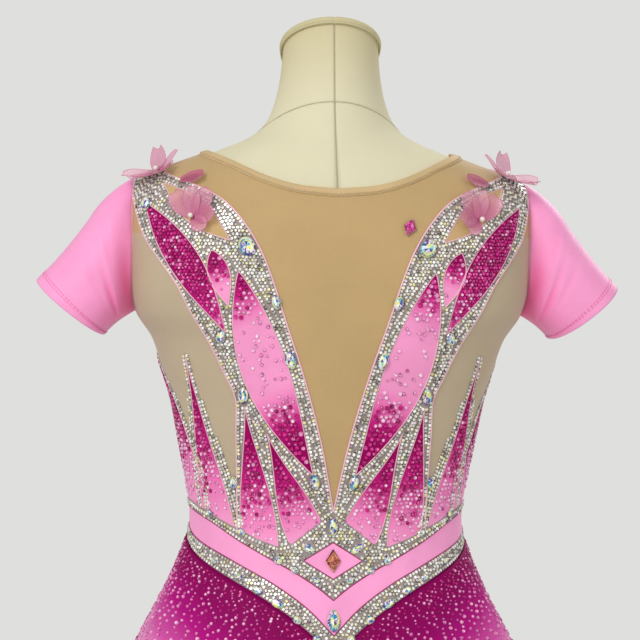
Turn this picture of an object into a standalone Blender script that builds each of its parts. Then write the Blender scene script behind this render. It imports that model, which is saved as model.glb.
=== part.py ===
"""A rhythmic gymnastics leotard with its skirt, on a limbless dress form.

The garment's panels lie on one body surface. A point of a panel is (along, height) in millimetres: along is
the way round the body from the centre back, and height is above the flat feet of the form. +X is the right
of the garment as seen from behind, -Y is its back and +Z is up. Sizes are in millimetres until the meshes
are made, in metres.
"""

import math

import bmesh
import bpy
import numpy as np
from mathutils import Matrix, Vector
from mathutils.geometry import delaunay_2d_cdt

MM = 0.001
FRAME_OFFSET = (0.0, 8.05, 0.0)  # puts the origin on the floor in the middle of the whole part

# Cloth
CLOTH_GAP = 1.0  # from the body surface to the inside of the cloth
FORM_INSET = 2.0  # the form is this much smaller than the body surface, so its flat faces stay clear
WALL = 1.3
SEAM_GAP = 0.3
BAND_RAISE = 1.0  # the crystal bands stand proud of the cloth
BAND_STEP = 0.9  # width of their sloped edge
HEM_RAISE = 0.6
BINDING_WIDTH = 6.0
BINDING_WALL = 2.2
TRIM_GAP = 0.35

# Steps along edges and across panels
EDGE_STEP = 13.0
FILL_STEP = 20.0
LINING_STEP = 24.0
SPEAR_STEPS = 8
BODY_SIDES = 32
BODY_RING_STEP = 24.0
NECKLINE_STEP = 9.0
SIDE_SEAM_STEP = 6.0
WELD = 0.02
STRETCH_HEIGHTS = (565.0, 590.0, 640.0)  # near the shoulder a mm of height is a longer way over the cloth
STRETCH_RATES = (1.0, 2.6, 2.6)

# Body, from the crotch to the top of the neck
# Columns: height, half width, back depth, front depth, squareness of the ring
BODY_ROWS = (
    (74, 40, 26, 20, 2.0),
    (80, 72, 46, 36, 2.0),
    (92, 108, 70, 56, 2.1),
    (100, 126, 90, 72, 2.2),
    (115, 139, 100, 82, 2.2),
    (150, 143, 105, 86, 2.2),
    (195, 137, 102, 87, 2.2),
    (235, 126, 91, 85, 2.2),
    (270, 118, 82, 82, 2.2),
    (305, 114.5, 78, 81, 2.2),
    (335, 118, 83, 82, 2.2),
    (370, 124.5, 90, 84, 2.25),
    (404, 131, 95, 86, 2.3),
    (435, 141, 99, 87, 2.4),
    (457, 148.5, 101, 87, 2.5),
    (480, 163, 102, 86, 2.7),
    (500, 168, 102, 84, 2.8),
    (540, 170.5, 99, 80, 2.8),
    (565, 171, 94, 74, 2.6),
    (580, 170, 89, 68, 2.3),
    (590, 166, 84, 63, 2.1),
    (598, 149, 79, 59, 2.0),
    (606, 127, 75, 56, 2.0),
    (617, 97, 69, 52, 2.0),
    (627, 73, 63, 49, 2.0),
    (635, 61, 59, 47, 2.0),
    (650, 51, 53, 46, 2.0),
    (680, 43.5, 45, 49, 2.0),
    (705, 41, 39, 51, 2.0),
)
NECK_TILT_START = 650.0
NECK_TILT = 0.46  # fall towards the front for each mm, at the top of the neck
CAP_THICKNESS = 7.0
CAP_DOME = 3.0
CAP_SPREAD = 1.5

# Legs of the form, cut short and flat
LEG_CENTRE = (78.0, -8.0)
LEG_SQUARENESS = 2.3
LEG_SIDES = 22
# Columns: height, half width, half depth
LEG_ROWS = ((0, 49, 52), (3, 52, 55), (60, 54, 57), (94, 54, 56), (116, 44, 46))

# Neckline and the V edge of the mesh yoke: along, height
NECKLINE = ((0, 574), (35, 577.5), (63, 586), (89, 598), (114, 607))
NECKLINE_SHOULDER = 613.0
V_EDGE = ((0, 315), (12, 374), (26, 424), (43, 474), (55, 510), (65, 533), (77, 552), (93, 569), (116, 581), (146, 592))
V_EDGE_SHOULDER = 602.0

# Armhole, an oval round the side line
ARMHOLE_HEIGHT = 537.0
ARMHOLE_HALF_HEIGHT = 57.0
ARMHOLE_HALF_WIDTH = 40.0
ARMHOLE_STEPS = 32
WING_ARMHOLE_TURN = math.pi / 4  # where the wing's outer edge meets the armhole

# Outer edge of the crystal wing, from the armhole to the waist
WING_OUTER = ((168, 543), (150, 522), (133, 501), (122, 481), (112, 465), (101, 446), (92, 428), (83, 409), (82, 380))
WING_FOOT = (80, 298)

# Waist yoke: upper edge from the peak to the side, and the lower edge from the tip to the side
WAIST_TOP = ((0, 314), (33, 287), (45, 284), (62, 290), WING_FOOT, (108, 310), (135, 318))
WAIST_TOP_SIDE = 321.0
WAIST_BAND_FOOT = ((0, 242), (14, 253), (33, 265), (50, 274), (77, 288), (106, 303), (140, 313))
WAIST_BAND_FOOT_SIDE = 314.0
WAIST_LOW_TOP = ((0, 214), (22, 236), (48, 254), (70, 265.5), (93, 276), (126, 288))
WAIST_LOW_TOP_SIDE = 299.0
WAIST_FOOT = ((0, 199), (16, 213), (33, 227), (56, 242), (81, 255), (105, 266), (132, 278))
WAIST_FOOT_SIDE = 290.0

# Pointed cells in the crystal work. belly is the widest place, as a share of the length from the tip
# Columns: tip along, tip height, foot along, foot height, width, bow, belly
WING_CELLS = (
    (147, 584, 88, 537, 20, 0, 0.5),
    (165, 568, 91, 462, 27, -4, 0.45),
    (100, 525, 90, 488, 14, 0, 0.4),
    (81, 512, 17, 345, 38, 8, 0.45),
    (75, 402, 52, 232, 30, 0, 0.6),
    (56, 380, 4, 254, 31, 1, 0.62),
)
SIDE_SPEAR = (131, 447, 77, 236, 30, 5, 0.65)
SIDE_SPEAR_BAND = 4.0
SIDE_GORE_TIP = 446.0
SIDE_GORE_FOOT = 232.0
SIDE_GORE_WIDTH = 88.0
SIDE_GORE_BAND = 5.0
DIAMOND = (0, 289, 0, 259, 48, 0, 0.5)

# Skirt
SKIRT_HEM = 105.0
SKIRT_HIP = 160.0  # below this height the skirt hangs clear of the hips
SKIRT_FLARE = 0.26  # mm outward for each mm down
SKIRT_WAVES = 5.0  # for each half of the skirt
SKIRT_WAVE = 0.036  # wave height for each mm down
SKIRT_STEPS_ROUND = 32
SKIRT_STEPS_DOWN = 6

# Brief
BRIEF_FILL_STEP = 26.0
LEG_LINE_SIDE = 150.0
LEG_LINE_FOOT = 112.0
LEG_LINE_POWER = {"back": 1.5, "front": 1.1}
GUSSET_HALF_WIDTH = 19.0
GUSSET_STEPS = 6

# Sleeves: the upper and lower edges of the sleeve from the armhole to the cuff
# Columns: share of the way, x and z of the upper edge, x and z of the lower edge, half depth
SLEEVE_ROWS = (
    (0.0, 170, 594, 166, 480, 40),
    (0.25, 190, 577, 173, 476, 43),
    (0.5, 207, 552, 179, 472, 42),
    (0.75, 227, 526, 185, 467, 40),
    (1.0, 247, 504, 192, 460, 37),
)
SLEEVE_CENTRE_Y = -8.0
SLEEVE_BLEND = 0.4  # share of the length in which the armhole's shape turns into the sleeve's
SLEEVE_CUFF_BULGE = 5.0
SLEEVE_FOLD = {"way": 0.2, "way_spread": 0.11, "turn": 105.0, "turn_spread": 38.0, "depth": 5.0}
SLEEVE_STEPS = 7
SLEEVE_SQUARENESS = 2.15

# Flowers and pearls: places on the back panels, mirrored to the left
# Columns: name, along, height, radius, petals, lift of the tips, pearl radius, seat over the plain cloth
FLOWER_ROWS = (
    ("upper", 158, 593, 27, 5, 11, 3.6, 0.6),
    ("lower", 120, 556, 19, 5, 7, 4.2, 0.1),
)
PETAL_POINTS = 5
PETAL_WALL = 1.0
PETAL_RINGS = (0.45, 1.0)  # shares of the reach

# Large set stones: length runs down the turned axis
# Columns: name, along, height, length, width, turn, rise
STONE_PAIRS = (
    ("stone_oval", 74, 532, 15, 12, 35, 3.5),
    ("stone_v_upper", 50, 487, 11, 7, 15, 3.0),
    ("stone_v_middle", 37.5, 440, 12, 7, 12, 3.0),
    ("stone_v_lower", 16, 340, 12, 7, 14, 3.0),
    ("stone_outer", 95, 459, 11, 7, -20, 3.0),
    ("stone_fork", 76, 411, 12, 8, -5, 3.0),
    ("stone_side", 83.5, 338, 10, 6, -5, 3.0),
)
STONE_SINGLES = (
    ("stone_centre", 0, 302, 15, 8, 0, 3.0),
    ("stone_diamond", 0, 274, 20, 13, 0, 4.0),
    ("stone_drop", 0, 226, 19, 11, 0, 4.0),
)
MESH_STONE = ("stone_yoke", 59, 549, 16, 11, 20, 3.5)
STONE_SIDES = 8
STONE_TABLE = 0.55  # of the outline
STONE_GIRDLE = 0.35  # of the rise

# Finishes: colour, roughness, metallic
FINISHES = {
    "linen": ((0.78, 0.75, 0.62), 0.85, 0.0),
    "cap": ((0.58, 0.52, 0.38), 0.8, 0.0),
    "mesh": ((0.60, 0.43, 0.28), 0.75, 0.0),
    "binding": ((0.52, 0.36, 0.24), 0.7, 0.0),
    "crystal": ((0.62, 0.60, 0.62), 0.2, 0.3),
    "pink": ((0.95, 0.37, 0.66), 0.6, 0.0),
    "magenta": ((0.40, 0.0, 0.14), 0.5, 0.0),
    "petal": ((0.93, 0.55, 0.72), 0.5, 0.0),
    "pearl": ((0.90, 0.85, 0.80), 0.25, 0.0),
    "stone": ((0.80, 0.78, 0.85), 0.08, 0.0),
    "amber": ((0.75, 0.45, 0.20), 0.08, 0.0),
}


# Numbers and curves


def slopes(places, values):
    """Slopes at the rows of a table that never overshoot: the weighted harmonic mean of the two neighbours."""
    run = np.diff(places)
    rise = np.diff(values) / run
    slope = np.zeros(len(places))
    for row in range(1, len(places) - 1):
        before, after = rise[row - 1], rise[row]
        if before * after > 0:
            weight = 2 * run[row] + run[row - 1], run[row] + 2 * run[row - 1]
            slope[row] = sum(weight) / (weight[0] / before + weight[1] / after)
    slope[0], slope[-1] = rise[0], rise[-1]
    return slope


def smooth_table(rows):
    """Returns a function that reads every column of a table, after the first, smoothly at a value of the first."""
    table = np.array(rows, float)
    places = table[:, 0]
    columns = [(table[:, c], slopes(places, table[:, c])) for c in range(1, table.shape[1])]

    def read(where):
        where = np.clip(np.asarray(where, float), places[0], places[-1])
        row = np.clip(np.searchsorted(places, where, side="right") - 1, 0, len(places) - 2)
        run = places[row + 1] - places[row]
        t = (where - places[row]) / run
        start, start_slope = 2 * t**3 - 3 * t**2 + 1, (t**3 - 2 * t**2 + t) * run
        end, end_slope = -2 * t**3 + 3 * t**2, (t**3 - t**2) * run
        return [
            start * value[row] + start_slope * slope[row] + end * value[row + 1] + end_slope * slope[row + 1]
            for value, slope in columns
        ]

    return read


body_sizes = smooth_table(BODY_ROWS)
ANGLES = np.linspace(0.0, math.pi, 241)
SIDE_ANGLE = len(ANGLES) // 2


def half_ring(height, inset=0.0):
    """x, y and running length of the right half of the body's ring, from the centre back to the centre front."""
    *sizes, squareness = (float(size) for size in body_sizes(height))
    half_width, back, front = (size - inset for size in sizes)
    power = 2.0 / squareness
    x = half_width * np.abs(np.sin(ANGLES)) ** power
    cosine = np.cos(ANGLES)
    y = np.where(cosine > 0, -back, front) * np.abs(cosine) ** power
    run = np.concatenate([[0.0], np.cumsum(np.hypot(np.diff(x), np.diff(y)))])
    return x, y, run


def side_length(height):
    """Way round from the centre back to the side line."""
    return float(half_ring(height)[2][SIDE_ANGLE])


def on_body(points):
    """Body surface at (along, height) rows. Past the side line, along keeps the back's measure on the front."""
    found = np.empty((len(points), 3))
    for row, (along, height) in enumerate(points):
        x, y, run = half_ring(height)
        side = run[SIDE_ANGLE]
        way = abs(along)
        if way > side:
            way = run[-1] - (2 * side - way) * (run[-1] - side) / side
        found[row] = math.copysign(np.interp(way, run, x), along), np.interp(way, run, y), height
    return found


def off_surface(surface, points, out):
    """Points of a surface moved out along its normal. The normal is the cross product of its two directions."""
    points = np.asarray(points, float)
    step = 0.4
    across = surface(points + (step, 0)) - surface(points - (step, 0))
    upward = surface(points + (0, step)) - surface(points - (0, step))
    normal = np.cross(across, upward)
    normal /= np.linalg.norm(normal, axis=1, keepdims=True)
    base = surface(points)
    inward = (normal[:, :2] * base[:, :2]).sum(axis=1) < 0
    normal[inward] *= -1
    return base + normal * np.reshape(out, (-1, 1))


def front_along(points):
    """Turns (way from the centre front, height) into (along, height)."""
    way, height = np.asarray(points, float).T
    length = np.array([2 * side_length(level) for level in height])
    return np.column_stack([np.copysign(length - np.abs(way), way), height])


def on_front(points):
    return on_body(front_along(points))


def place_back(points, out):
    return off_surface(on_body, points, out)


def place_front(points, out):
    return off_surface(on_front, points, out)


def mirrored(place):
    """The same placing on the left of the garment."""

    def place_left(points, out):
        return place(points, out) * (-1, 1, 1)

    return place_left


def to_side(rows, height):
    """Adds the point of the side line at a height to the end of an edge."""
    return [*rows, (side_length(height), height)]


def rounded_edge(rows, step=EDGE_STEP):
    """Points at even steps on a smooth curve (a centripetal Catmull-Rom spline) through the rows."""
    knots = np.array(rows, float)
    ends = np.vstack([2 * knots[0] - knots[1], knots, 2 * knots[-1] - knots[-2]])
    fine = []
    for k in range(len(knots) - 1):
        a, b, c, d = ends[k : k + 4]
        ab, bc, cd = (max(np.linalg.norm(q - p), 1e-6) ** 0.5 for p, q in ((a, b), (b, c), (c, d)))
        leave = bc * ((b - a) / ab - (c - a) / (ab + bc) + (c - b) / bc)
        arrive = bc * ((c - b) / bc - (d - b) / (bc + cd) + (d - c) / cd)
        t = np.linspace(0.0, 1.0, 12, endpoint=False)[:, None]
        fine.append(
            (2 * t**3 - 3 * t**2 + 1) * b
            + (t**3 - 2 * t**2 + t) * leave
            + (-2 * t**3 + 3 * t**2) * c
            + (t**3 - t**2) * arrive
        )
    return even_steps(np.vstack([*fine, knots[-1:]]), step)


def even_steps(line, step=EDGE_STEP):
    """The line read again at even steps of its length, with its ends kept."""
    line = np.asarray(line, float)
    run = np.concatenate([[0.0], np.cumsum(np.linalg.norm(np.diff(line, axis=0), axis=1))])
    count = max(1, round(run[-1] / step))
    at = np.linspace(0.0, run[-1], count + 1)
    return np.column_stack([np.interp(at, run, line[:, 0]), np.interp(at, run, line[:, 1])])


def stepped_edge(rows, step=EDGE_STEP):
    """Even steps on each straight stretch between the rows, with every row kept."""
    parts = [even_steps(rows[k : k + 2], step)[:-1] for k in range(len(rows) - 1)]
    return np.vstack([*parts, [rows[-1]]])


def side_line(low, high, step=EDGE_STEP):
    """The side line between two heights."""
    count = max(1, round(abs(high - low) / step))
    return np.array([(side_length(level), level) for level in np.linspace(low, high, count + 1)])


def closed_loop(*edges):
    """Joins edges that follow each other into one loop, without the doubled corners."""
    joined = np.vstack(edges)
    keep = np.linalg.norm(joined - np.roll(joined, 1, axis=0), axis=1) > 0.05
    return joined[keep]


def moved_in(loop, distance):
    """A closed loop with each side moved in by a distance. Sharp corners move at most three times as far."""
    area = np.sum(loop[:, 0] * np.roll(loop[:, 1], -1) - np.roll(loop[:, 0], -1) * loop[:, 1])
    ahead = np.roll(loop, -1, axis=0) - loop
    ahead /= np.linalg.norm(ahead, axis=1, keepdims=True)
    normal = np.column_stack([-ahead[:, 1], ahead[:, 0]]) * (1 if area > 0 else -1)
    both = normal + np.roll(normal, 1, axis=0)
    size = np.maximum((both**2).sum(axis=1), 4 / 9)
    return loop + both * (2 * distance / size)[:, None]


def depth_inside(points, loop):
    """Distance of each point from a closed loop, positive inside it."""
    start, end = loop, np.roll(loop, -1, axis=0)
    span = end - start
    to_start = points[:, None, :] - start
    share = np.clip((to_start * span).sum(axis=2) / (span**2).sum(axis=1), 0, 1)
    distance = np.linalg.norm(to_start - share[..., None] * span, axis=2).min(axis=1)
    x, y = points[:, None, 0], points[:, None, 1]
    crosses = (start[:, 1] > y) != (end[:, 1] > y)
    with np.errstate(divide="ignore", invalid="ignore"):
        at = start[:, 0] + (y - start[:, 1]) * span[:, 0] / span[:, 1]
    inside = (crosses & (x < at)).sum(axis=1) % 2 == 1
    return np.where(inside, distance, -distance)


def spear(row, grow=0.0):
    """Outline of a pointed leaf. The axis is a parabola from the tip to the foot, pushed sideways by bow, and
    the half width is half of width times the sine of half a turn, skewed so that it peaks at belly."""
    tip, foot, width, bow, belly = np.array(row[:2], float), np.array(row[2:4], float), *row[4:]
    axis = foot - tip
    length = np.linalg.norm(axis)
    axis /= length
    sideways = np.array([axis[1], -axis[0]])
    t = np.linspace(0.0, 1.0, SPEAR_STEPS + 1)[:, None]
    spine = tip + axis * (t * (length + 6 * grow) - 3 * grow) - sideways * bow * 4 * t * (1 - t)
    half = (width / 2 + grow) * np.sin(math.pi * t ** (math.log(0.5) / math.log(belly)))
    return np.vstack([spine + sideways * half, (spine - sideways * half)[-2:0:-1]])


# Meshes


def finish_material(name):
    colour, roughness, metallic = FINISHES[name]
    material = bpy.data.materials.get(name) or bpy.data.materials.new(name)
    material.use_nodes = True
    shader = material.node_tree.nodes["Principled BSDF"]
    shader.inputs["Base Color"].default_value = (*colour, 1.0)
    shader.inputs["Roughness"].default_value = roughness
    shader.inputs["Metallic"].default_value = metallic
    material.diffuse_color = (*colour, 1.0)
    return material


def solid(name, points, faces, finish):
    """A named object from points in mm and faces, with its faces turned outward."""
    mesh = bpy.data.meshes.new(name)
    placed = (np.asarray(points) + FRAME_OFFSET) * MM
    mesh.from_pydata(placed.tolist(), [], [tuple(int(i) for i in face) for face in faces])
    shape = bmesh.new()
    shape.from_mesh(mesh)
    bmesh.ops.recalc_face_normals(shape, faces=shape.faces)
    shape.to_mesh(mesh)
    shape.free()
    mesh.shade_smooth()
    mesh.set_sharp_from_angle(angle=math.radians(40))
    mesh.materials.append(finish_material(finish))
    made = bpy.data.objects.new(name, mesh)
    bpy.context.scene.collection.objects.link(made)
    return made


def grid_faces(rows, columns, closed):
    """Quads of a grid of points, row by row. A closed grid joins its last column to its first."""
    quads = []
    for row in range(rows - 1):
        for column in range(columns if closed else columns - 1):
            beside = (column + 1) % columns
            first, second = row * columns, (row + 1) * columns
            quads.append((first + column, first + beside, second + beside, second + column))
    return quads


def ring_stack(rings):
    """Points and faces of a closed solid through rings with equal counts of points, flat at both ends."""
    count = len(rings[0])
    faces = grid_faces(len(rings), count, closed=True)
    faces.append(tuple(range(count)))
    faces.append(tuple(range((len(rings) - 1) * count, len(rings) * count)))
    return np.vstack(rings), faces


def wall_of_grids(outer, inner, closed):
    """Points and faces of a wall between two equal grids of points, shaped (rows, columns, 3)."""
    rows, columns = outer.shape[:2]
    size = rows * columns
    outside = grid_faces(rows, columns, closed)
    faces = outside + [tuple(i + size for i in reversed(face)) for face in outside]
    rims = [[row * columns + column for column in range(columns)] for row in (0, rows - 1)]
    if closed:
        rims = [[*rim, rim[0]] for rim in rims]
    else:
        rims += [[row * columns + column for row in range(rows)] for column in (0, columns - 1)]
    for rim in rims:
        faces += [(a, b, b + size, a + size) for a, b in zip(rim[:-1], rim[1:])]
    return np.vstack([outer.reshape(-1, 3), inner.reshape(-1, 3)]), faces


HEIGHTS = np.linspace(0.0, STRETCH_HEIGHTS[-1], 1281)
LONG_HEIGHTS = np.cumsum(np.interp(HEIGHTS, STRETCH_HEIGHTS, STRETCH_RATES)) * (HEIGHTS[1] - HEIGHTS[0])


def stretched(points):
    """Heights turned into lengths over the cloth, so that a net of triangles is even there."""
    return np.column_stack([points[:, 0], np.interp(points[:, 1], HEIGHTS, LONG_HEIGHTS)])


def unstretched(points):
    return np.column_stack([points[:, 0], np.interp(points[:, 1], LONG_HEIGHTS, HEIGHTS)])


def filling_points(loop, lines, step):
    """Points of an even triangular net inside a loop, clear of the loop and of the lines."""
    low, high = loop.min(axis=0), loop.max(axis=0)
    rise = step * math.sqrt(3) / 2
    heights = np.arange(low[1] + rise / 2, high[1], rise)
    net = [
        (along + (row % 2) * step / 2, height)
        for row, height in enumerate(heights)
        for along in np.arange(low[0], high[0], step)
    ]
    if not net:
        return np.empty((0, 2))
    net = np.array(net)
    net = net[depth_inside(net, loop) > 0.4 * step]
    if len(lines) and len(net):
        marks = np.vstack(lines)
        nearest = np.linalg.norm(net[:, None, :] - marks, axis=2).min(axis=1)
        net = net[nearest > 0.4 * step]
    return net


def fill(loop, lines, step):
    """Triangles that fill a closed loop, follow the closed lines in it and use a net of points between them."""
    loop, lines = stretched(loop), [stretched(line) for line in lines]
    points, edges = [], []
    for line in (loop, *lines):
        first = len(points)
        points += [Vector(point) for point in line.tolist()]
        edges += [(first + k, first + (k + 1) % len(line)) for k in range(len(line))]
    points += [Vector(point) for point in filling_points(loop, lines, step).tolist()]
    found, _, faces, *_ = delaunay_2d_cdt(points, edges, [], 0, WELD)
    found = np.array([tuple(point) for point in found])
    faces = np.array([tuple(face) for face in faces])
    inside = depth_inside(found[faces].mean(axis=1), loop) > 0
    faces = faces[inside]
    used, renumbered = np.unique(faces, return_inverse=True)
    return unstretched(found[used]), renumbered.reshape(faces.shape)


def rim_of(faces):
    """The edge of a patch of triangles, as one loop of point numbers in order."""
    sides = {(int(face[k]), int(face[(k + 1) % 3])) for face in faces for k in range(3)}
    following = {a: b for a, b in sides if (b, a) not in sides}
    rim = [min(following)]
    while following[rim[-1]] != rim[0]:
        rim.append(following[rim[-1]])
    return rim


def panel(name, place, loop, finish, raised=(), cells=(), all_raised=False, level=CLOTH_GAP, step=FILL_STEP):
    """A cloth panel: a wall over a plain inside, whose outer points rise where the crystal bands lie."""
    loop = moved_in(loop, SEAM_GAP / 2)
    lines = [moved_in(line, side * BAND_STEP / 2) for line in (*raised, *cells) for side in (1, -1)]
    points, faces = fill(loop, lines, step)
    depth = np.full(len(points), BAND_STEP if all_raised else -BAND_STEP)
    for line in raised:
        depth = np.maximum(depth, depth_inside(points, line))
    for line in cells:
        depth = np.minimum(depth, -depth_inside(points, line))
    relief = BAND_RAISE * np.clip(0.5 + depth / BAND_STEP, 0, 1)
    rim = rim_of(faces)
    plain, plain_faces = fill(points[rim], (), LINING_STEP)
    plain_rim = [len(points) + int(np.abs(plain - points[k]).sum(axis=1).argmin()) for k in rim]
    both = np.vstack([place(points, level + WALL + relief), place(plain, np.full(len(plain), level))])
    every = [tuple(face) for face in faces] + [tuple(k + len(points) for k in face[::-1]) for face in plain_faces]
    for k in range(len(rim)):
        after = (k + 1) % len(rim)
        every.append((rim[k], rim[after], plain_rim[after], plain_rim[k]))
    return solid(name, both, every, finish)


# Dress form


def full_ring(height, sides=BODY_SIDES):
    """The body's whole ring at a height, at even steps of its length on each half, tilted near the top."""
    x, y, run = half_ring(height, FORM_INSET)
    at = np.linspace(0.0, run[-1], sides // 2 + 1)
    x, y = np.interp(at, run, x), np.interp(at, run, y)
    x, y = np.concatenate([x, -x[-2:0:-1]]), np.concatenate([y, y[-2:0:-1]])
    top = BODY_ROWS[-1][0]
    tilt = NECK_TILT * max(0.0, (height - NECK_TILT_START) / (top - NECK_TILT_START)) ** 2
    return np.column_stack([x, y, height - tilt * y])


def superellipse(centre, half_width, half_depth, squareness, height, sides):
    turn = np.arange(sides) * 2 * math.pi / sides
    cosine, sine = np.cos(turn), np.sin(turn)
    power = 2.0 / squareness
    x = centre[0] + half_width * np.sign(cosine) * np.abs(cosine) ** power
    y = centre[1] + half_depth * np.sign(sine) * np.abs(sine) ** power
    return np.column_stack([x, y, np.full(sides, float(height))])


def make_form():
    levels = []
    for low, high in zip(BODY_ROWS[:-1], BODY_ROWS[1:]):
        count = max(1, round(math.hypot(high[0] - low[0], high[1] - low[1]) / BODY_RING_STEP))
        levels += list(np.linspace(low[0], high[0], count + 1)[:-1])
    top = BODY_ROWS[-1][0]
    body = solid("form_body", *ring_stack([full_ring(level) for level in [*levels, top]]), "linen")
    for side, sign in (("right", 1), ("left", -1)):
        centre = (sign * LEG_CENTRE[0], LEG_CENTRE[1])
        rings = [superellipse(centre, row[1], row[2], LEG_SQUARENESS, row[0], LEG_SIDES) for row in LEG_ROWS]
        leg = solid(f"leg_{side}", *ring_stack(rings), "linen")
        leg.hide_render = True
        leg.display_type = "WIRE"
        join = body.modifiers.new(f"leg_{side}", "BOOLEAN")
        join.operation = "UNION"
        join.object = leg
    rim = full_ring(top)
    middle = rim.mean(axis=0)
    upward = np.array([0.0, NECK_TILT, 1.0])
    upward /= np.linalg.norm(upward)
    layers = []
    for share, rise in ((CAP_SPREAD, SEAM_GAP), (2 * CAP_SPREAD, 0.5 * CAP_THICKNESS), (0.0, CAP_THICKNESS)):
        spread = 1 + share / BODY_ROWS[-1][1]
        layers.append(middle + (rim - middle) * spread + upward * rise)
    layers.append(middle + (rim - middle) * 0.6 + upward * (CAP_THICKNESS + 0.7 * CAP_DOME))
    solid("form_neck_cap", *ring_stack(layers), "cap")


# Bodice


def armhole_point(turn, shrink=0.0):
    """Armhole oval at an angle from its top, turning to the back: along and height."""
    height = ARMHOLE_HEIGHT + (ARMHOLE_HALF_HEIGHT - shrink) * math.cos(turn)
    return side_length(height) - (ARMHOLE_HALF_WIDTH - shrink) * math.sin(turn), height


def armhole_edge(start, end):
    """Points of the armhole between two angles from its top."""
    count = max(1, round(abs(end - start) / (2 * math.pi) * ARMHOLE_STEPS))
    return np.array([armhole_point(turn) for turn in np.linspace(start, end, count + 1)])


def wing_outer_edge():
    """The wing's outer edge, from the armhole down to the waist."""
    top = armhole_point(WING_ARMHOLE_TURN)
    return rounded_edge([top, *WING_OUTER, WING_FOOT])


def mirror_along(line):
    """The line mirrored about the side line, from the back to the front."""
    return np.array([(2 * side_length(height) - along, height) for along, height in line])


def make_yokes():
    """The mesh yokes: below the neckline, inside the V edge, and up to the shoulder line."""
    neck = rounded_edge(to_side(NECKLINE, NECKLINE_SHOULDER), NECKLINE_STEP)
    edge = rounded_edge(to_side(V_EDGE, V_EDGE_SHOULDER))
    shoulder = side_line(V_EDGE_SHOULDER, NECKLINE_SHOULDER, 6.0)
    half = np.vstack([edge, shoulder[1:-1], neck[::-1]])
    loop = closed_loop(half, (half * (-1, 1))[::-1])
    for name, place in (("back_mesh_yoke", place_back), ("front_mesh_yoke", place_front)):
        panel(name, place, loop, "mesh")


def make_wings():
    """The crystal wings, from the V edge out, each with its pointed cells."""
    inner = rounded_edge(to_side(V_EDGE, V_EDGE_SHOULDER))
    top = ARMHOLE_HEIGHT + ARMHOLE_HALF_HEIGHT
    shoulder = side_line(V_EDGE_SHOULDER, top, 5.0)
    waist = stepped_edge(WAIST_TOP[: WAIST_TOP.index(WING_FOOT) + 1])
    loop = closed_loop(inner, shoulder, armhole_edge(0.0, WING_ARMHOLE_TURN), wing_outer_edge(), waist[::-1])
    cells = [spear(row) for row in WING_CELLS]
    for face, place in (("back", place_back), ("front", place_front)):
        for side, put in (("right", place), ("left", mirrored(place))):
            panel(f"{face}_wing_{side}", put, loop, "crystal", cells=cells, all_raised=True)


def side_gore(grow=0.0):
    """The pointed gore on the side line, as a loop of (along, height)."""
    row = (0, SIDE_GORE_TIP, 0, SIDE_GORE_FOOT, SIDE_GORE_WIDTH, 0, 0.5)
    return np.array([(side_length(height) + way, height) for way, height in spear(row, grow)])


def make_sides():
    """The side panels, under the arm from the back wing to the front wing."""
    outer = wing_outer_edge()
    waist = np.vstack([stepped_edge(WAIST_TOP[WAIST_TOP.index(WING_FOOT) :]), [(side_length(WAIST_TOP_SIDE), WAIST_TOP_SIDE)]])
    turn = WING_ARMHOLE_TURN
    loop = closed_loop(
        armhole_edge(turn, 2 * math.pi - turn), mirror_along(outer), mirror_along(waist), waist[::-1], outer[::-1]
    )
    back_spear = spear(SIDE_SPEAR)
    spears = [side_gore(), back_spear, mirror_along(back_spear)]
    back_band = spear(SIDE_SPEAR, SIDE_SPEAR_BAND)
    bands = [side_gore(SIDE_GORE_BAND), back_band, mirror_along(back_band)]
    for side, put in (("right", place_back), ("left", mirrored(place_back))):
        panel(f"side_panel_{side}", put, loop, "mesh", raised=bands, cells=spears)


def both_halves(edge):
    """An edge from the centre to the side line, with its mirrored half before it."""
    return np.vstack([(edge * (-1, 1))[:0:-1], edge])


def make_waist():
    """The pointed waist yokes with a crystal band along each edge and a diamond in the upper one."""
    top = np.vstack([stepped_edge(WAIST_TOP), [(side_length(WAIST_TOP_SIDE), WAIST_TOP_SIDE)]])
    band_foot = rounded_edge(to_side(WAIST_BAND_FOOT, WAIST_BAND_FOOT_SIDE))
    low_top = rounded_edge(to_side(WAIST_LOW_TOP, WAIST_LOW_TOP_SIDE))
    foot = rounded_edge(to_side(WAIST_FOOT, WAIST_FOOT_SIDE))
    seam = side_line(WAIST_TOP_SIDE, WAIST_FOOT_SIDE, SIDE_SEAM_STEP)[1:-1]
    loop = closed_loop(both_halves(top), seam, both_halves(foot)[::-1], (seam * (-1, 1))[::-1])
    past_edge = np.array([0.0, 4.0])
    upper = closed_loop(both_halves(top) + past_edge, both_halves(band_foot)[::-1])
    lower = closed_loop(both_halves(low_top), both_halves(foot)[::-1] - past_edge)
    for name, place in (("back_waist_yoke", place_back), ("front_waist_yoke", place_front)):
        panel(name, place, loop, "pink", raised=[upper, lower], cells=[spear(DIAMOND)])


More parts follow.
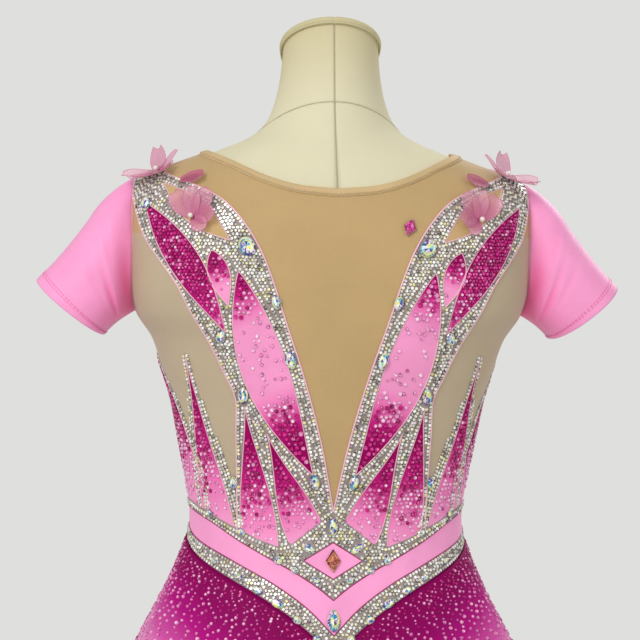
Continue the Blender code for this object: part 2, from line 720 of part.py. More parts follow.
def make_neck_binding():
    """The binding round the neck: a strip of four-sided section above the neckline, front and back."""
    quarter = rounded_edge(to_side(NECKLINE, NECKLINE_SHOULDER), NECKLINE_STEP)
    direction = np.gradient(quarter, axis=0)
    upward = np.column_stack([-direction[:, 1], direction[:, 0]])
    upward /= np.linalg.norm(upward, axis=1, keepdims=True)
    upward[-1] = (0.0, 1.0)
    rise = np.linspace(1.0, 0.72, len(quarter))[:, None]  # the shoulder's slope makes a mm of height longer there
    low = quarter + upward * SEAM_GAP / 2
    top = quarter + upward * BINDING_WIDTH * rise
    low[:, 0] = np.where(np.arange(len(low)) == len(low) - 1, [side_length(h) for h in low[:, 1]], low[:, 0])
    top[:, 0] = np.where(np.arange(len(top)) == len(top) - 1, [side_length(h) for h in top[:, 1]], top[:, 0])
    corners = []
    for line, out in ((low, CLOTH_GAP), (top, CLOTH_GAP), (top, CLOTH_GAP + BINDING_WALL), (low, CLOTH_GAP + BINDING_WALL)):
        levels = np.full(len(line), out)
        back, front = place_back(line, levels), place_front(line, levels)
        half = np.vstack([back, front[-2::-1]])
        corners.append(np.vstack([half, (half * (-1, 1, 1))[-2:0:-1]]))
    count = len(corners[0])
    faces = grid_faces(4, count, closed=True)
    faces += [(3 * count + k, 3 * count + (k + 1) % count, (k + 1) % count, k) for k in range(count)]
    solid("neck_binding", np.vstack(corners), faces, "binding")


# Skirt and brief


def skirt_points(face, level):
    """A grid of the skirt's surface: rows go down from the yoke's foot to the hem, columns go across."""
    half = np.linspace(0.0, 1.0, SKIRT_STEPS_ROUND // 2 + 1)
    foot = rounded_edge(to_side(WAIST_FOOT, WAIST_FOOT_SIDE), 4.0)
    share = foot[:, 0] / np.array([side_length(height) for height in foot[:, 1]])
    top = np.interp(half, share, foot[:, 1]) - SEAM_GAP
    half[-1] -= SEAM_GAP / 2 / side_length(WAIST_FOOT_SIDE)
    down = np.linspace(0.0, 1.0, SKIRT_STEPS_DOWN + 1) ** 1.15
    place = place_back if face == "back" else place_front
    rows = []
    for part in down:
        height = top + (SKIRT_HEM - top) * part
        fall = top - height
        held = np.maximum(height, SKIRT_HIP)
        along = half * np.array([side_length(h) for h in held])
        wave = SKIRT_WAVE * fall * np.cos(math.pi * SKIRT_WAVES * half)
        body = place(np.column_stack([along, held]), np.zeros(len(half)))
        far = place(np.column_stack([along, held]), np.ones(len(half)))
        normal = (far - body) * (1, 1, 0)
        normal /= np.linalg.norm(normal, axis=1, keepdims=True)
        reach = level + SKIRT_FLARE * fall + wave
        right = body + normal * reach[:, None]
        right[:, 2] = height
        rows.append(np.vstack([(right * (-1, 1, 1))[:0:-1], right]))
    return np.array(rows)


def make_skirt():
    start = CLOTH_GAP + WALL + SEAM_GAP
    for face in ("back", "front"):
        outer, inner = skirt_points(face, start + WALL), skirt_points(face, start)
        solid(f"{face}_skirt", *wall_of_grids(outer, inner, closed=False), "magenta")


def make_brief():
    """The brief under the skirt, from the yoke's foot to the leg line, and the gusset between the legs."""
    foot = rounded_edge(to_side(WAIST_FOOT, WAIST_FOOT_SIDE), 20.0)
    for face, place in (("back", place_back), ("front", place_front)):
        share = np.linspace(0.0, 1.0, 13)
        height = LEG_LINE_FOOT + (LEG_LINE_SIDE - LEG_LINE_FOOT) * share ** LEG_LINE_POWER[face]
        sides = np.array([side_length(level) for level in height])
        leg = np.column_stack([GUSSET_HALF_WIDTH + share * (sides - GUSSET_HALF_WIDTH), height])
        leg = np.vstack([[(0.0, LEG_LINE_FOOT)], leg])
        edge = side_line(LEG_LINE_SIDE, WAIST_FOOT_SIDE, EDGE_STEP)
        loop = closed_loop(both_halves(leg), edge[1:-1], both_halves(foot)[::-1], (edge * (-1, 1))[::-1][1:-1])
        panel(f"{face}_brief", place, loop, "magenta", step=BRIEF_FILL_STEP)
    levels = np.linspace(LEG_LINE_FOOT - SEAM_GAP, BODY_ROWS[0][0], GUSSET_STEPS + 1)
    sizes = body_sizes(levels)
    profile = np.vstack([np.column_stack([-sizes[1], levels]), np.column_stack([sizes[2], levels])[::-1]])
    ahead = np.gradient(profile, axis=0)
    outward = np.column_stack([ahead[:, 1], -ahead[:, 0]])
    outward /= np.linalg.norm(outward, axis=1, keepdims=True)
    grids = []
    for out in (CLOTH_GAP + WALL, CLOTH_GAP):
        line = profile + outward * out
        grids.append(np.array([[(x, y, z) for x in (-GUSSET_HALF_WIDTH, 0.0, GUSSET_HALF_WIDTH)] for y, z in line]))
    solid("gusset", *wall_of_grids(*grids, closed=False), "magenta")


# Sleeves


def sleeve_grid(way_steps, turn_steps, level):
    """The sleeve's surface: rows from the armhole to the cuff, columns round it from the top to the back. The
    armhole's own curve turns into ovals across the sleeve, with one deep fold beside the body."""
    sizes = smooth_table(SLEEVE_ROWS)
    turn = np.arange(turn_steps) * 2 * math.pi / turn_steps
    start = place_back(np.array([armhole_point(angle, SEAM_GAP) for angle in turn]), np.full(turn_steps, level))
    cosine, sine = np.cos(turn), np.sin(turn)
    power = 2 / SLEEVE_SQUARENESS
    upright = np.sign(cosine) * np.abs(cosine) ** power
    across = np.sign(sine) * np.abs(sine) ** power
    fold = SLEEVE_FOLD
    rows = []
    for way in np.linspace(0.0, 1.0, way_steps + 1):
        top_x, top_z, under_x, under_z, half_depth = (float(size) for size in sizes(way))
        outward = np.array([top_z - under_z, top_x - under_x])
        outward /= np.linalg.norm(outward)
        bulge = SLEEVE_CUFF_BULGE * way**3 * np.abs(sine)
        dent = fold["depth"] * math.exp(-(((way - fold["way"]) / fold["way_spread"]) ** 2))
        dent *= np.exp(-(((np.degrees(turn) - fold["turn"]) / fold["turn_spread"]) ** 2))
        x = (top_x + under_x) / 2 + (top_x - under_x) / 2 * upright + bulge * outward[0]
        z = (top_z + under_z) / 2 + (top_z - under_z) / 2 * upright - bulge * outward[1]
        y = SLEEVE_CENTRE_Y - half_depth * across + dent
        blend = min(1.0, way / SLEEVE_BLEND)
        blend = blend * blend * (3 - 2 * blend)
        rows.append(start * (1 - blend) + np.column_stack([x, y, z]) * blend)
    return np.array(rows)


def grid_normals(grid):
    """Unit normals of a closed grid, from the differences along its rows and columns."""
    along = np.gradient(grid, axis=0)
    around = np.roll(grid, -1, axis=1) - np.roll(grid, 1, axis=1)
    normal = np.cross(around, along)
    return normal / np.linalg.norm(normal, axis=2, keepdims=True)


def make_sleeves():
    inner = sleeve_grid(SLEEVE_STEPS, ARMHOLE_STEPS, CLOTH_GAP)
    normal = grid_normals(inner)
    middle = inner.mean(axis=1, keepdims=True)
    if ((inner - middle) * normal).sum() < 0:
        normal = -normal
    outer = inner + normal * WALL
    outer[-1] = inner[-1] + normal[-1] * (WALL + HEM_RAISE)
    outer[0] = sleeve_grid(1, ARMHOLE_STEPS, CLOTH_GAP + WALL)[0]
    for side, sign in (("right", 1), ("left", -1)):
        walls = [wall[:, ::sign] * (sign, 1, 1) for wall in (outer, inner)]
        solid(f"sleeve_{side}", *wall_of_grids(*walls, closed=True), "pink")


# Trims


def seat_frame(place, along, height, out):
    """Matrix of a seat on a panel: X runs across, Y runs up the panel and Z points out of it, in mm."""
    at = np.array([(along, height)], float)
    seat, above = place(at, [out])[0], place(at, [out + 1.0])[0]
    up_panel = place(at + (0, 0.5), [out])[0] - seat
    outward = Vector(above - seat).normalized()
    across = Vector(up_panel).cross(outward).normalized()
    upward = outward.cross(across)
    frame = Matrix((across, upward, outward)).transposed().to_4x4()
    frame.translation = Vector(seat)
    return np.array(frame)


def in_frame(frame, points):
    return points @ frame[:3, :3].T + frame[:3, 3]


def make_stone(name, place, along, height, sizes, out, finish="stone"):
    """A set stone: a pointed oval with a flat back, a girdle and a smaller flat table."""
    length, width, turn, rise = sizes
    angle = np.arange(STONE_SIDES) * 2 * math.pi / STONE_SIDES
    outline = np.column_stack([width / 2 * np.sin(angle), length / 2 * np.cos(angle)])
    lean = math.radians(turn)
    outline = outline @ np.array([[math.cos(lean), -math.sin(lean)], [math.sin(lean), math.cos(lean)]])
    frame = seat_frame(place, along, height, out)
    rings = []
    for scale, lift in ((0.9, 0.0), (1.0, STONE_GIRDLE * rise), (STONE_TABLE, rise)):
        rings.append(in_frame(frame, np.column_stack([outline * scale, np.full(STONE_SIDES, lift)])))
    made = solid(name, *ring_stack(rings), finish)
    made.data.shade_flat()


def make_flower(name, place, row):
    """A flower cut in one: petals round a flat middle, each cupped up towards its tip, and a pearl in the middle."""
    _, along, height, radius, petals, lift, pearl, seat = row
    count = petals * PETAL_POINTS
    turn = (np.arange(count) + 0.5) * 2 * math.pi / count
    reach = radius * (0.42 + 0.58 * np.abs(np.sin(petals * turn / 2)) ** 0.8)
    frame = seat_frame(place, along, height, CLOTH_GAP + WALL + TRIM_GAP + seat)
    layers = []
    for thickness in (PETAL_WALL, 0.0):
        rings = [np.array([[0.0, 0.0, thickness]])]
        for share in PETAL_RINGS:
            rise = lift * share**1.6 * (reach / radius) + thickness
            rings.append(np.column_stack([reach * share * np.cos(turn), reach * share * np.sin(turn), rise]))
        layers.append(np.vstack(rings))
    faces = []
    size = len(layers[0])
    for start, flip in ((0, False), (size, True)):
        patch = [(start, start + 1 + k, start + 1 + (k + 1) % count) for k in range(count)]
        patch += [tuple(start + 1 + i for i in face) for face in grid_faces(len(PETAL_RINGS), count, closed=True)]
        faces += [face[::-1] if flip else face for face in patch]
    rim = size - count
    faces += [(rim + k, rim + (k + 1) % count, size + rim + (k + 1) % count, size + rim + k) for k in range(count)]
    solid(name, in_frame(frame, np.vstack(layers)), faces, "petal")
    pearl_frame = frame.copy()
    pearl_frame[:3, 3] += frame[:3, 2] * (PETAL_WALL + SEAM_GAP + pearl)
    shape = bmesh.new()
    bmesh.ops.create_icosphere(shape, subdivisions=2, radius=pearl)
    points = in_frame(pearl_frame, np.array([tuple(vertex.co) for vertex in shape.verts]))
    shape.verts.index_update()
    faces = [tuple(vertex.index for vertex in face.verts) for face in shape.faces]
    shape.free()
    solid(name.replace("flower", "pearl"), points, faces, "pearl")


def make_trims():
    band_top = CLOTH_GAP + WALL + BAND_RAISE + TRIM_GAP
    cloth_top = CLOTH_GAP + WALL + TRIM_GAP
    for side, sign, place in (("right", 1, place_back), ("left", -1, mirrored(place_back))):
        for row in FLOWER_ROWS:
            make_flower(f"flower_{row[0]}_{side}", place, row)
        for name, along, height, length, width, turn, rise in STONE_PAIRS:
            make_stone(f"{name}_{side}", place, along, height, (length, width, turn * sign, rise), band_top)
    for name, along, height, *sizes in STONE_SINGLES:
        finish = "amber" if name == "stone_diamond" else "stone"
        out = band_top if name == "stone_centre" else cloth_top
        make_stone(name, place_back, along, height, sizes, out, finish)
    name, along, height, *sizes = MESH_STONE
    make_stone(name, place_back, along, height, sizes, cloth_top)


def main():
    for old in list(bpy.data.objects):
        bpy.data.objects.remove(old)
    make_form()
    make_yokes()
    make_wings()
    make_sides()
    make_waist()
    make_neck_binding()
    make_sleeves()
    make_skirt()
    make_brief()
    make_trims()


main()
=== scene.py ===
"""The looks of a rhythmic gymnastics leotard on its dress form.

Cloth pieces are grids over one body surface. A place on it is (along, height) in millimetres: along is the
way round from the centre back, and height is above the floor. Meshes are made in metres.
"""

import math

import bmesh
import bpy
import numpy as np
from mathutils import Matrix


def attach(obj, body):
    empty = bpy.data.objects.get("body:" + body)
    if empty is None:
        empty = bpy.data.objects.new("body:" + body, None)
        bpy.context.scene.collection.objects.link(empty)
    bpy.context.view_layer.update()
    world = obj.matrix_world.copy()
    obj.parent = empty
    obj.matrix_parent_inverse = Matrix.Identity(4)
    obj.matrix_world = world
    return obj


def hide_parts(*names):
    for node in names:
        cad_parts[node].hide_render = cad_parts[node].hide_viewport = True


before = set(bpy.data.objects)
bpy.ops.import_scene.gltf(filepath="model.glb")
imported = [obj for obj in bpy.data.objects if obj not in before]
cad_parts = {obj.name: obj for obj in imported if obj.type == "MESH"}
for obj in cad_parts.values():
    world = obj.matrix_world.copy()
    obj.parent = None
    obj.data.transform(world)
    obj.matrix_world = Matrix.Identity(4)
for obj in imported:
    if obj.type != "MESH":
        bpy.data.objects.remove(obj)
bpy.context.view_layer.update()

MM = 0.001
FRAME_OFFSET = np.array([0.0, 8.05, 0.0])
SEED = 41

# Layers, in mm out from the body surface
FORM_LEVEL = -0.3
BRIEF_LEVEL = 1.9
MESH_LEVEL = 1.9
WING_LEVEL = 2.3
CELL_LEVEL = 2.45
DIAMOND_LEVEL = CELL_LEVEL + 0.1
WAIST_LEVEL = 2.4
BAND_LEVEL = WAIST_LEVEL + 0.06
PIPING_LEVEL = 2.5
SKIRT_LEVEL = 3.9
STONE_LEVEL = 3.3
CLOTH_THICKNESS = 0.8
NORMAL_STEP = 1.2

# Shares of width times length that a cut's area fills: the least that is said as measured, and what is
# said instead when it fills less
LEAST_AREA_SHARE = 0.32
SAID_AREA_SHARE = 0.4

# Body, from the crotch to the top of the neck
# Columns: height, half width, back depth, front depth, squareness of the ring
BODY_ROWS = (
    (74, 40, 26, 20, 2.0),
    (80, 72, 46, 36, 2.0),
    (92, 108, 70, 56, 2.1),
    (100, 126, 90, 72, 2.2),
    (115, 139, 100, 82, 2.2),
    (150, 143, 105, 86, 2.2),
    (195, 137, 102, 87, 2.2),
    (235, 126, 91, 85, 2.2),
    (270, 118, 82, 82, 2.2),
    (305, 114.5, 78, 81, 2.2),
    (335, 118, 83, 82, 2.2),
    (370, 124.5, 90, 84, 2.25),
    (404, 131, 95, 86, 2.3),
    (435, 141, 99, 87, 2.4),
    (457, 148.5, 101, 87, 2.5),
    (480, 163, 102, 86, 2.7),
    (500, 168, 102, 84, 2.8),
    (540, 170.5, 99, 80, 2.8),
    (565, 171, 94, 74, 2.6),
    (580, 170, 89, 68, 2.3),
    (590, 166, 84, 63, 2.1),
    (598, 149, 79, 59, 2.0),
    (606, 127, 75, 56, 2.0),
    (617, 97, 69, 52, 2.0),
    (627, 73, 63, 49, 2.0),
    (635, 61, 59, 47, 2.0),
    (650, 51, 53, 46, 2.0),
    (680, 43.5, 45, 49, 2.0),
    (705, 41, 39, 51, 2.0),
)
NECK_TILT_START = 650.0
NECK_TILT = 0.46
# Columns: share of the neck's rim, rise
CAP_PROFILE = (
    (1.0, -0.5),
    (1.035, 0.5),
    (1.07, 2.0),
    (1.075, 4.0),
    (1.06, 5.6),
    (1.02, 6.6),
    (0.95, 7.2),
    (0.8, 7.9),
    (0.6, 8.6),
    (0.35, 9.2),
    (0.12, 9.4),
    (0.0, 9.4),
)
LEG_CENTRE = (78.0, -8.0)
LEG_SQUARENESS = 2.3
# Columns: height, half width, half depth
LEG_ROWS = ((0, 49, 52), (3, 52, 55), (60, 54, 57), (94, 54, 56), (116, 44, 46))
NECK_SEAM_TOP = 656.0
NECK_SEAM_SIDE = 633.0

# Neckline and the V edge of the mesh yoke: along, height
NECKLINE = ((0, 574), (35, 577.5), (63, 586), (89, 598), (114, 607))
NECKLINE_SHOULDER = 613.0
V_EDGE = (
    (0, 315),
    (12, 374),
    (26, 424),
    (43, 474),
    (55, 510),
    (65, 533),
    (77, 552),
    (93, 569),
    (116, 581),
    (146, 592),
)
V_EDGE_SHOULDER = 602.0
BINDING_WIDTH = 6.0
# The binding's section. Columns: share of its width above the neckline, and mm out from the body
BINDING_SECTION = (
    (-0.1, 1.5),
    (-0.16, 2.1),
    (0.0, 2.8),
    (0.3, 3.2),
    (0.7, 3.3),
    (0.92, 3.0),
    (1.0, 2.3),
    (0.96, 1.3),
)

# Armhole, an oval round the side line
ARMHOLE_HEIGHT = 537.0
ARMHOLE_HALF_HEIGHT = 57.0
ARMHOLE_HALF_WIDTH = 40.0
WING_ARMHOLE_TURN = math.pi / 4

# Outer edge of the crystal wing, and the waist yoke's edges from the centre out
WING_OUTER = (
    (168, 543),
    (150, 522),
    (133, 501),
    (122, 481),
    (112, 465),
    (101, 446),
    (92, 428),
    (83, 409),
    (82, 380),
)
WING_FOOT = (80, 298)
WAIST_TOP = ((0, 314), (33, 287), (45, 284), (62, 290), WING_FOOT, (108, 310), (135, 318))
WAIST_TOP_SIDE = 321.0
WAIST_BAND_FOOT = ((0, 242), (14, 253), (33, 265), (50, 274), (77, 288), (106, 303), (140, 313))
WAIST_BAND_FOOT_SIDE = 314.0
WAIST_LOW_TOP = ((0, 214), (22, 236), (48, 254), (70, 265.5), (93, 276), (126, 288))
WAIST_LOW_TOP_SIDE = 299.0
WAIST_FOOT = ((0, 199), (16, 213), (33, 227), (56, 242), (81, 255), (105, 266), (132, 278))
WAIST_FOOT_SIDE = 290.0

# Pointed cells. belly is the widest place, as a share of the length from the tip
# Columns: colour scheme, tip along, tip height, foot along, foot height, width, bow, belly
WING_CELLS = (
    ("nude", 147, 584, 88, 537, 20, 0, 0.5),
    ("deep", 165, 568, 91, 462, 27, -4, 0.45),
    ("tip", 103, 529, 89, 484, 18, 0, 0.42),
    ("both", 81, 512, 17, 345, 38, 8, 0.45),
    ("tip", 75, 402, 52, 232, 30, 0, 0.6),
    ("tip", 56, 380, 4, 254, 31, 1, 0.62),
)
SIDE_SPEAR = (131, 447, 77, 236, 30, 5, 0.65)
SIDE_GORE_TIP = 446.0
SIDE_GORE_FOOT = 232.0
SIDE_GORE_WIDTH = 88.0
DIAMOND = (0, 289, 0, 259, 48)

# Skirt
SKIRT_HEM = 105.0
SKIRT_HIP = 160.0
SKIRT_FLARE = 0.26
SKIRT_WAVES = 5.0
SKIRT_WAVE = 0.036
SKIRT_SEAM_GAP = 0.3

# Brief
LEG_LINE_SIDE = 150.0
LEG_LINE_FOOT = 112.0
LEG_LINE_POWER = {"back": 1.5, "front": 1.1}
GUSSET_HALF_WIDTH = 19.0

# Sleeves
# Columns: share of the way, x and z of the upper edge, x and z of the lower edge, half depth
SLEEVE_ROWS = (
    (0.0, 170, 594, 166, 480, 40),
    (0.25, 190, 577, 173, 476, 43),
    (0.5, 207, 552, 179, 472, 42),
    (0.75, 227, 526, 185, 467, 40),
    (1.0, 247, 504, 192, 460, 37),
)
SLEEVE_CENTRE_Y = -8.0
SLEEVE_BLEND = 0.4
SLEEVE_CUFF_BULGE = 5.0
SLEEVE_SQUARENESS = 2.15
SLEEVE_LEVEL = 2.3
SLEEVE_HEM = 9.0  # depth of the turned hem
# Columns: share of the way, its spread, turn in degrees from the top to the back, its spread, depth
SLEEVE_CREASES = (
    (0.2, 0.11, 112, 36, 6.5),
    (0.48, 0.05, 122, 36, 2.6),
    (0.36, 0.035, 75, 30, 1.1),
    (0.62, 0.04, 95, 26, 1.0),
    (0.3, 0.06, 255, 40, 3.0),
    (0.52, 0.05, 240, 34, 1.4),
)

# Flowers: name, along, height, lift of the base over the cloth, radius of the pearl
FLOWER_ROWS = (
    ("upper", 158, 593, 0.6, 2.2),
    ("lower", 120, 556, 0.1, 2.2),
)
# Petals: turn from the way out, gap from the middle, length, width, rise at the tip, paleness
PETALS = {
    "upper": (
        (-8, 0, 29, 19, 5, 0.8),
        (84, 0, 25, 14, 12, 0.25),
        (124, 0, 26, 8, 8, 0.45),
        (188, 0, 17, 13, 5, 0.4),
        (236, 0, 25, 19, 6, 0.75),
        (302, 0, 27, 19, 6, 0.6),
    ),
    "lower": (
        (54, 0, 25, 17, 5, 0.6),
        (94, 0, 24, 15, 6, 0.75),
        (132, 0, 26, 17, 6, 0.65),
        (182, 0, 21, 15, 5, 0.5),
        (226, 0, 18, 14, 4, 0.7),
    ),
}
# A petal sewn on alone beside each upper flower, in its own seat
BUD_SEAT = (121, 587)
BUD_PETAL = (184, -11, 22, 13, 1.5, 0.0)
PETAL_ACROSS = 15
PETAL_DOWN = 21

# Large set stones: name, along, height, length, width, turn, rise
STONE_PAIRS = (
    ("stone_oval", 74, 532, 17, 13, 35, 3.5),
    ("stone_v_upper", 50, 487, 12, 8, 15, 3.0),
    ("stone_v_middle", 37.5, 440, 15, 9, 12, 3.0),
    ("stone_v_lower", 16, 340, 13, 8, 14, 3.0),
    ("stone_outer", 95, 459, 12, 8, -20, 3.0),
    ("stone_fork", 76, 411, 14, 9, -5, 3.0),
    ("stone_side", 83.5, 338, 11, 7, -5, 3.0),
)
STONE_CENTRE = ("stone_centre", 0, 302, 15, 8, 0, 3.0)
STONE_DIAMOND = ("stone_diamond", 0, 274, 20, 13, 0, 4.0)
STONE_DROP = ("stone_drop", 0, 226, 19, 11, 0, 4.0)
STONE_YOKE = ("stone_yoke", 59, 549, 16, 11, 20, 3.5)

# One more stone on the left wing's shoulder: along, height, length, width, turn, rise
STONE_LEFT = (164, 567, 13, 10, 10, 3.0)

# Smaller set stones among the crystals: along, height, length, width, turn
WAIST_STONES = (
    (20, 284, 13, 7, 55),
    (45, 274, 8, 7, 30),
    (76, 296, 8, 6, 60),
    (14, 258, 7, 6, 50),
    (31, 266, 7, 6, 60),
    (108, 311, 7, 6, 60),
    (30, 226, 8, 7, 50),
    (46, 239, 12, 7, 58),
    (62, 249, 10, 7, 60),
    (79, 259, 8, 6, 62),
    (102, 271, 6, 6, 65),
    (14, 211, 8, 7, 45),
)

# Small crystals
CRYSTAL_PITCH = 3.1
CRYSTAL_RADIUS = 1.68
CRYSTAL_RISE = 0.6  # share of the radius
CRYSTAL_TABLE = 0.72  # share of the radius
CRYSTAL_SIDES = 8
EDGE_MARGIN = 1.9
# Rows of crystals beside the side panel's gore and spears
# Columns: distance, share of the line above which the row is left out, whether only the inner side has it
SIDE_BAND_ROWS = ((2.0, 0.0, False), (4.9, 0.28, False), (7.7, 0.5, True))


def srgb(*levels):
    """Linear colour from sRGB levels of 0 to 255."""
    share = np.array(levels, float) / 255.0
    return np.where(share <= 0.04045, share / 12.92, ((share + 0.055) / 1.055) ** 2.4)


NUDE = srgb(186, 168, 140)
SHEER = srgb(196, 164, 112)


# Curves and the body surface


def slopes(places, values):
    """Slopes at a table's rows that never overshoot: the weighted harmonic mean of the two neighbours."""
    run = np.diff(places)
    rise = np.diff(values) / run
    before, after = rise[:-1], rise[1:]
    first, second = 2 * run[1:] + run[:-1], run[1:] + 2 * run[:-1]
    same = before * after > 0
    safe_before, safe_after = np.where(same, before, 1.0), np.where(same, after, 1.0)
    middle = np.where(same, (first + second) / (first / safe_before + second / safe_after), 0.0)
    return np.concatenate([rise[:1], middle, rise[-1:]])


def smooth_table(rows):
    """Returns a function that reads each later column of a table smoothly at values of the first."""
    table = np.array(rows, float)
    places = table[:, 0]
    columns = [(table[:, c], slopes(places, table[:, c])) for c in range(1, table.shape[1])]

    def read(where):
        where = np.clip(np.asarray(where, float), places[0], places[-1])
        row = np.clip(np.searchsorted(places, where, side="right") - 1, 0, len(places) - 2)
        run = places[row + 1] - places[row]
        t = (where - places[row]) / run
        start, start_slope = 2 * t**3 - 3 * t**2 + 1, (t**3 - 2 * t**2 + t) * run
        end, end_slope = -2 * t**3 + 3 * t**2, (t**3 - t**2) * run
        return [
            start * value[row] + start_slope * slope[row] + end * value[row + 1] + end_slope * slope[row + 1]
            for value, slope in columns
        ]

    return read


body_sizes = smooth_table(BODY_ROWS)
ANGLES = np.linspace(0.0, math.pi, 961)
SIDE_ANGLE = len(ANGLES) // 2
HEIGHT_STEP = 0.5
BODY_HEIGHTS = np.arange(BODY_ROWS[0][0], BODY_ROWS[-1][0] + HEIGHT_STEP, HEIGHT_STEP)
SHARES = np.linspace(0.0, 2.0, 481)


def body_table():
    """x and y of the body's right half at every height and share of the way round, and the side lengths.
    A share of 1 is the side line and 2 is the centre front. Each quarter has even steps of length."""
    half_width, back, front, squareness = (size[:, None] for size in body_sizes(BODY_HEIGHTS))
    power = 2.0 / squareness
    cosine = np.cos(ANGLES)
    x = half_width * np.abs(np.sin(ANGLES)) ** power
    y = np.where(cosine > 0, -back, front) * np.abs(cosine) ** power
    run = np.hypot(np.diff(x, axis=1), np.diff(y, axis=1)).cumsum(axis=1)
    run = np.hstack([np.zeros((len(run), 1)), run])
    side, whole = run[:, SIDE_ANGLE], run[:, -1]
    table = np.empty((len(BODY_HEIGHTS), len(SHARES), 2))
    for row in range(len(BODY_HEIGHTS)):
        back_way = np.minimum(SHARES, 1) * side[row]
        front_way = np.maximum(SHARES - 1, 0) * (whole[row] - side[row])
        table[row, :, 0] = np.interp(back_way + front_way, run[row], x[row])
        table[row, :, 1] = np.interp(back_way + front_way, run[row], y[row])
    return table, side


BODY_TABLE, SIDE_LENGTHS = body_table()


def side_length(height):
    """Way round from the centre back to the side line."""
    return np.interp(height, BODY_HEIGHTS, SIDE_LENGTHS)


def on_body(along, height):
    """Body surface at along and height, read between the four nearest places of the table."""
    share = np.clip(np.abs(along) / side_length(height), 0, 2) / (SHARES[1] - SHARES[0])
    level = np.clip((height - BODY_HEIGHTS[0]) / HEIGHT_STEP, 0, len(BODY_HEIGHTS) - 1)
    row = np.minimum(level.astype(int), len(BODY_HEIGHTS) - 2)
    column = np.minimum(share.astype(int), len(SHARES) - 2)
    down, across = (level - row)[..., None], (share - column)[..., None]
    low = BODY_TABLE[row, column] * (1 - across) + BODY_TABLE[row, column + 1] * across
    high = BODY_TABLE[row + 1, column] * (1 - across) + BODY_TABLE[row + 1, column + 1] * across
    flat = low * (1 - down) + high * down
    return np.stack([np.copysign(flat[..., 0], along), flat[..., 1], height], axis=-1)


def on_front(way, height):
    """Body surface at a way from the centre front, and height."""
    return on_body(np.copysign(2 * side_length(height) - np.abs(way), way), height)


SURFACES = {"back": on_body, "front": on_front}


def place(face, points, out=0.0):
    """Points (along, height) on the back or front, moved out along normals. Returns places and normals."""
    points = np.asarray(points, float)
    along, height = points[..., 0], points[..., 1]
    surface = SURFACES[face]
    base = surface(along, height)
    across = surface(along + NORMAL_STEP, height) - surface(along - NORMAL_STEP, height)
    upward = surface(along, height + NORMAL_STEP) - surface(along, height - NORMAL_STEP)
    normal = np.cross(across, upward)
    normal /= np.linalg.norm(normal, axis=-1, keepdims=True)
    inward = (normal[..., :2] * base[..., :2]).sum(axis=-1, keepdims=True) < 0
    normal = np.where(inward, -normal, normal)
    return base + normal * np.asarray(out, float)[..., None], normal


def to_side(rows, height):
    """Adds the point of the side line at a height to the end of an edge."""
    return [*rows, (float(side_length(height)), height)]


def run_of(line):
    """Length along a line of points, from its start."""
    return np.concatenate([[0.0], np.linalg.norm(np.diff(line, axis=0), axis=1).cumsum()])


def resampled(line, count):
    """The line read again at an equal number of steps of its length."""
    line = np.asarray(line, float)
    run = run_of(line)
    at = np.linspace(0.0, run[-1], count + 1)
    return np.column_stack([np.interp(at, run, line[:, axis]) for axis in range(line.shape[1])])


def rounded_edge(rows, count=160):
    """Even steps on a smooth curve (a centripetal Catmull-Rom spline) through the rows."""
    knots = np.array(rows, float)
    ends = np.vstack([2 * knots[0] - knots[1], knots, 2 * knots[-1] - knots[-2]])
    fine = []
    t = np.linspace(0.0, 1.0, 24, endpoint=False)[:, None]
    for a, b, c, d in zip(ends[:-3], ends[1:-2], ends[2:-1], ends[3:]):
        ab, bc, cd = (max(np.linalg.norm(q - p), 1e-6) ** 0.5 for p, q in ((a, b), (b, c), (c, d)))
        leave = bc * ((b - a) / ab - (c - a) / (ab + bc) + (c - b) / bc)
        arrive = bc * ((c - b) / bc - (d - b) / (bc + cd) + (d - c) / cd)
        start, start_slope = 2 * t**3 - 3 * t**2 + 1, t**3 - 2 * t**2 + t
        end, end_slope = -2 * t**3 + 3 * t**2, t**3 - t**2
        fine.append(start * b + start_slope * leave + end * c + end_slope * arrive)
    return resampled(np.vstack([*fine, knots[-1:]]), count)


def moved_in(loop, distance):
    """A closed loop with each side moved in by a distance. Sharp corners move at most three times as far."""
    after = np.roll(loop, -1, axis=0)
    area = np.sum(loop[:, 0] * after[:, 1] - after[:, 0] * loop[:, 1])
    ahead = after - loop
    ahead /= np.linalg.norm(ahead, axis=1, keepdims=True)
    normal = np.column_stack([-ahead[:, 1], ahead[:, 0]]) * (1 if area > 0 else -1)
    both = normal + np.roll(normal, 1, axis=0)
    size = np.maximum((both**2).sum(axis=1), 4 / 9)
    return loop + both * (2 * distance / size)[:, None]


def depth_inside(points, loop):
    """Distance of each point from a closed loop, positive inside it."""
    start, end = loop, np.roll(loop, -1, axis=0)
    span = end - start
    to_start = points[:, None, :] - start
    share = np.clip((to_start * span).sum(axis=2) / np.maximum((span**2).sum(axis=1), 1e-9), 0, 1)
    distance = np.linalg.norm(to_start - share[..., None] * span, axis=2).min(axis=1)
    x, y = points[:, None, 0], points[:, None, 1]
    crosses = (start[:, 1] > y) != (end[:, 1] > y)
    rise = np.where(span[:, 1] == 0, 1.0, span[:, 1])
    at = start[:, 0] + (y - start[:, 1]) * span[:, 0] / rise
    inside = (crosses & (x < at)).sum(axis=1) % 2 == 1
    return np.where(inside, distance, -distance)


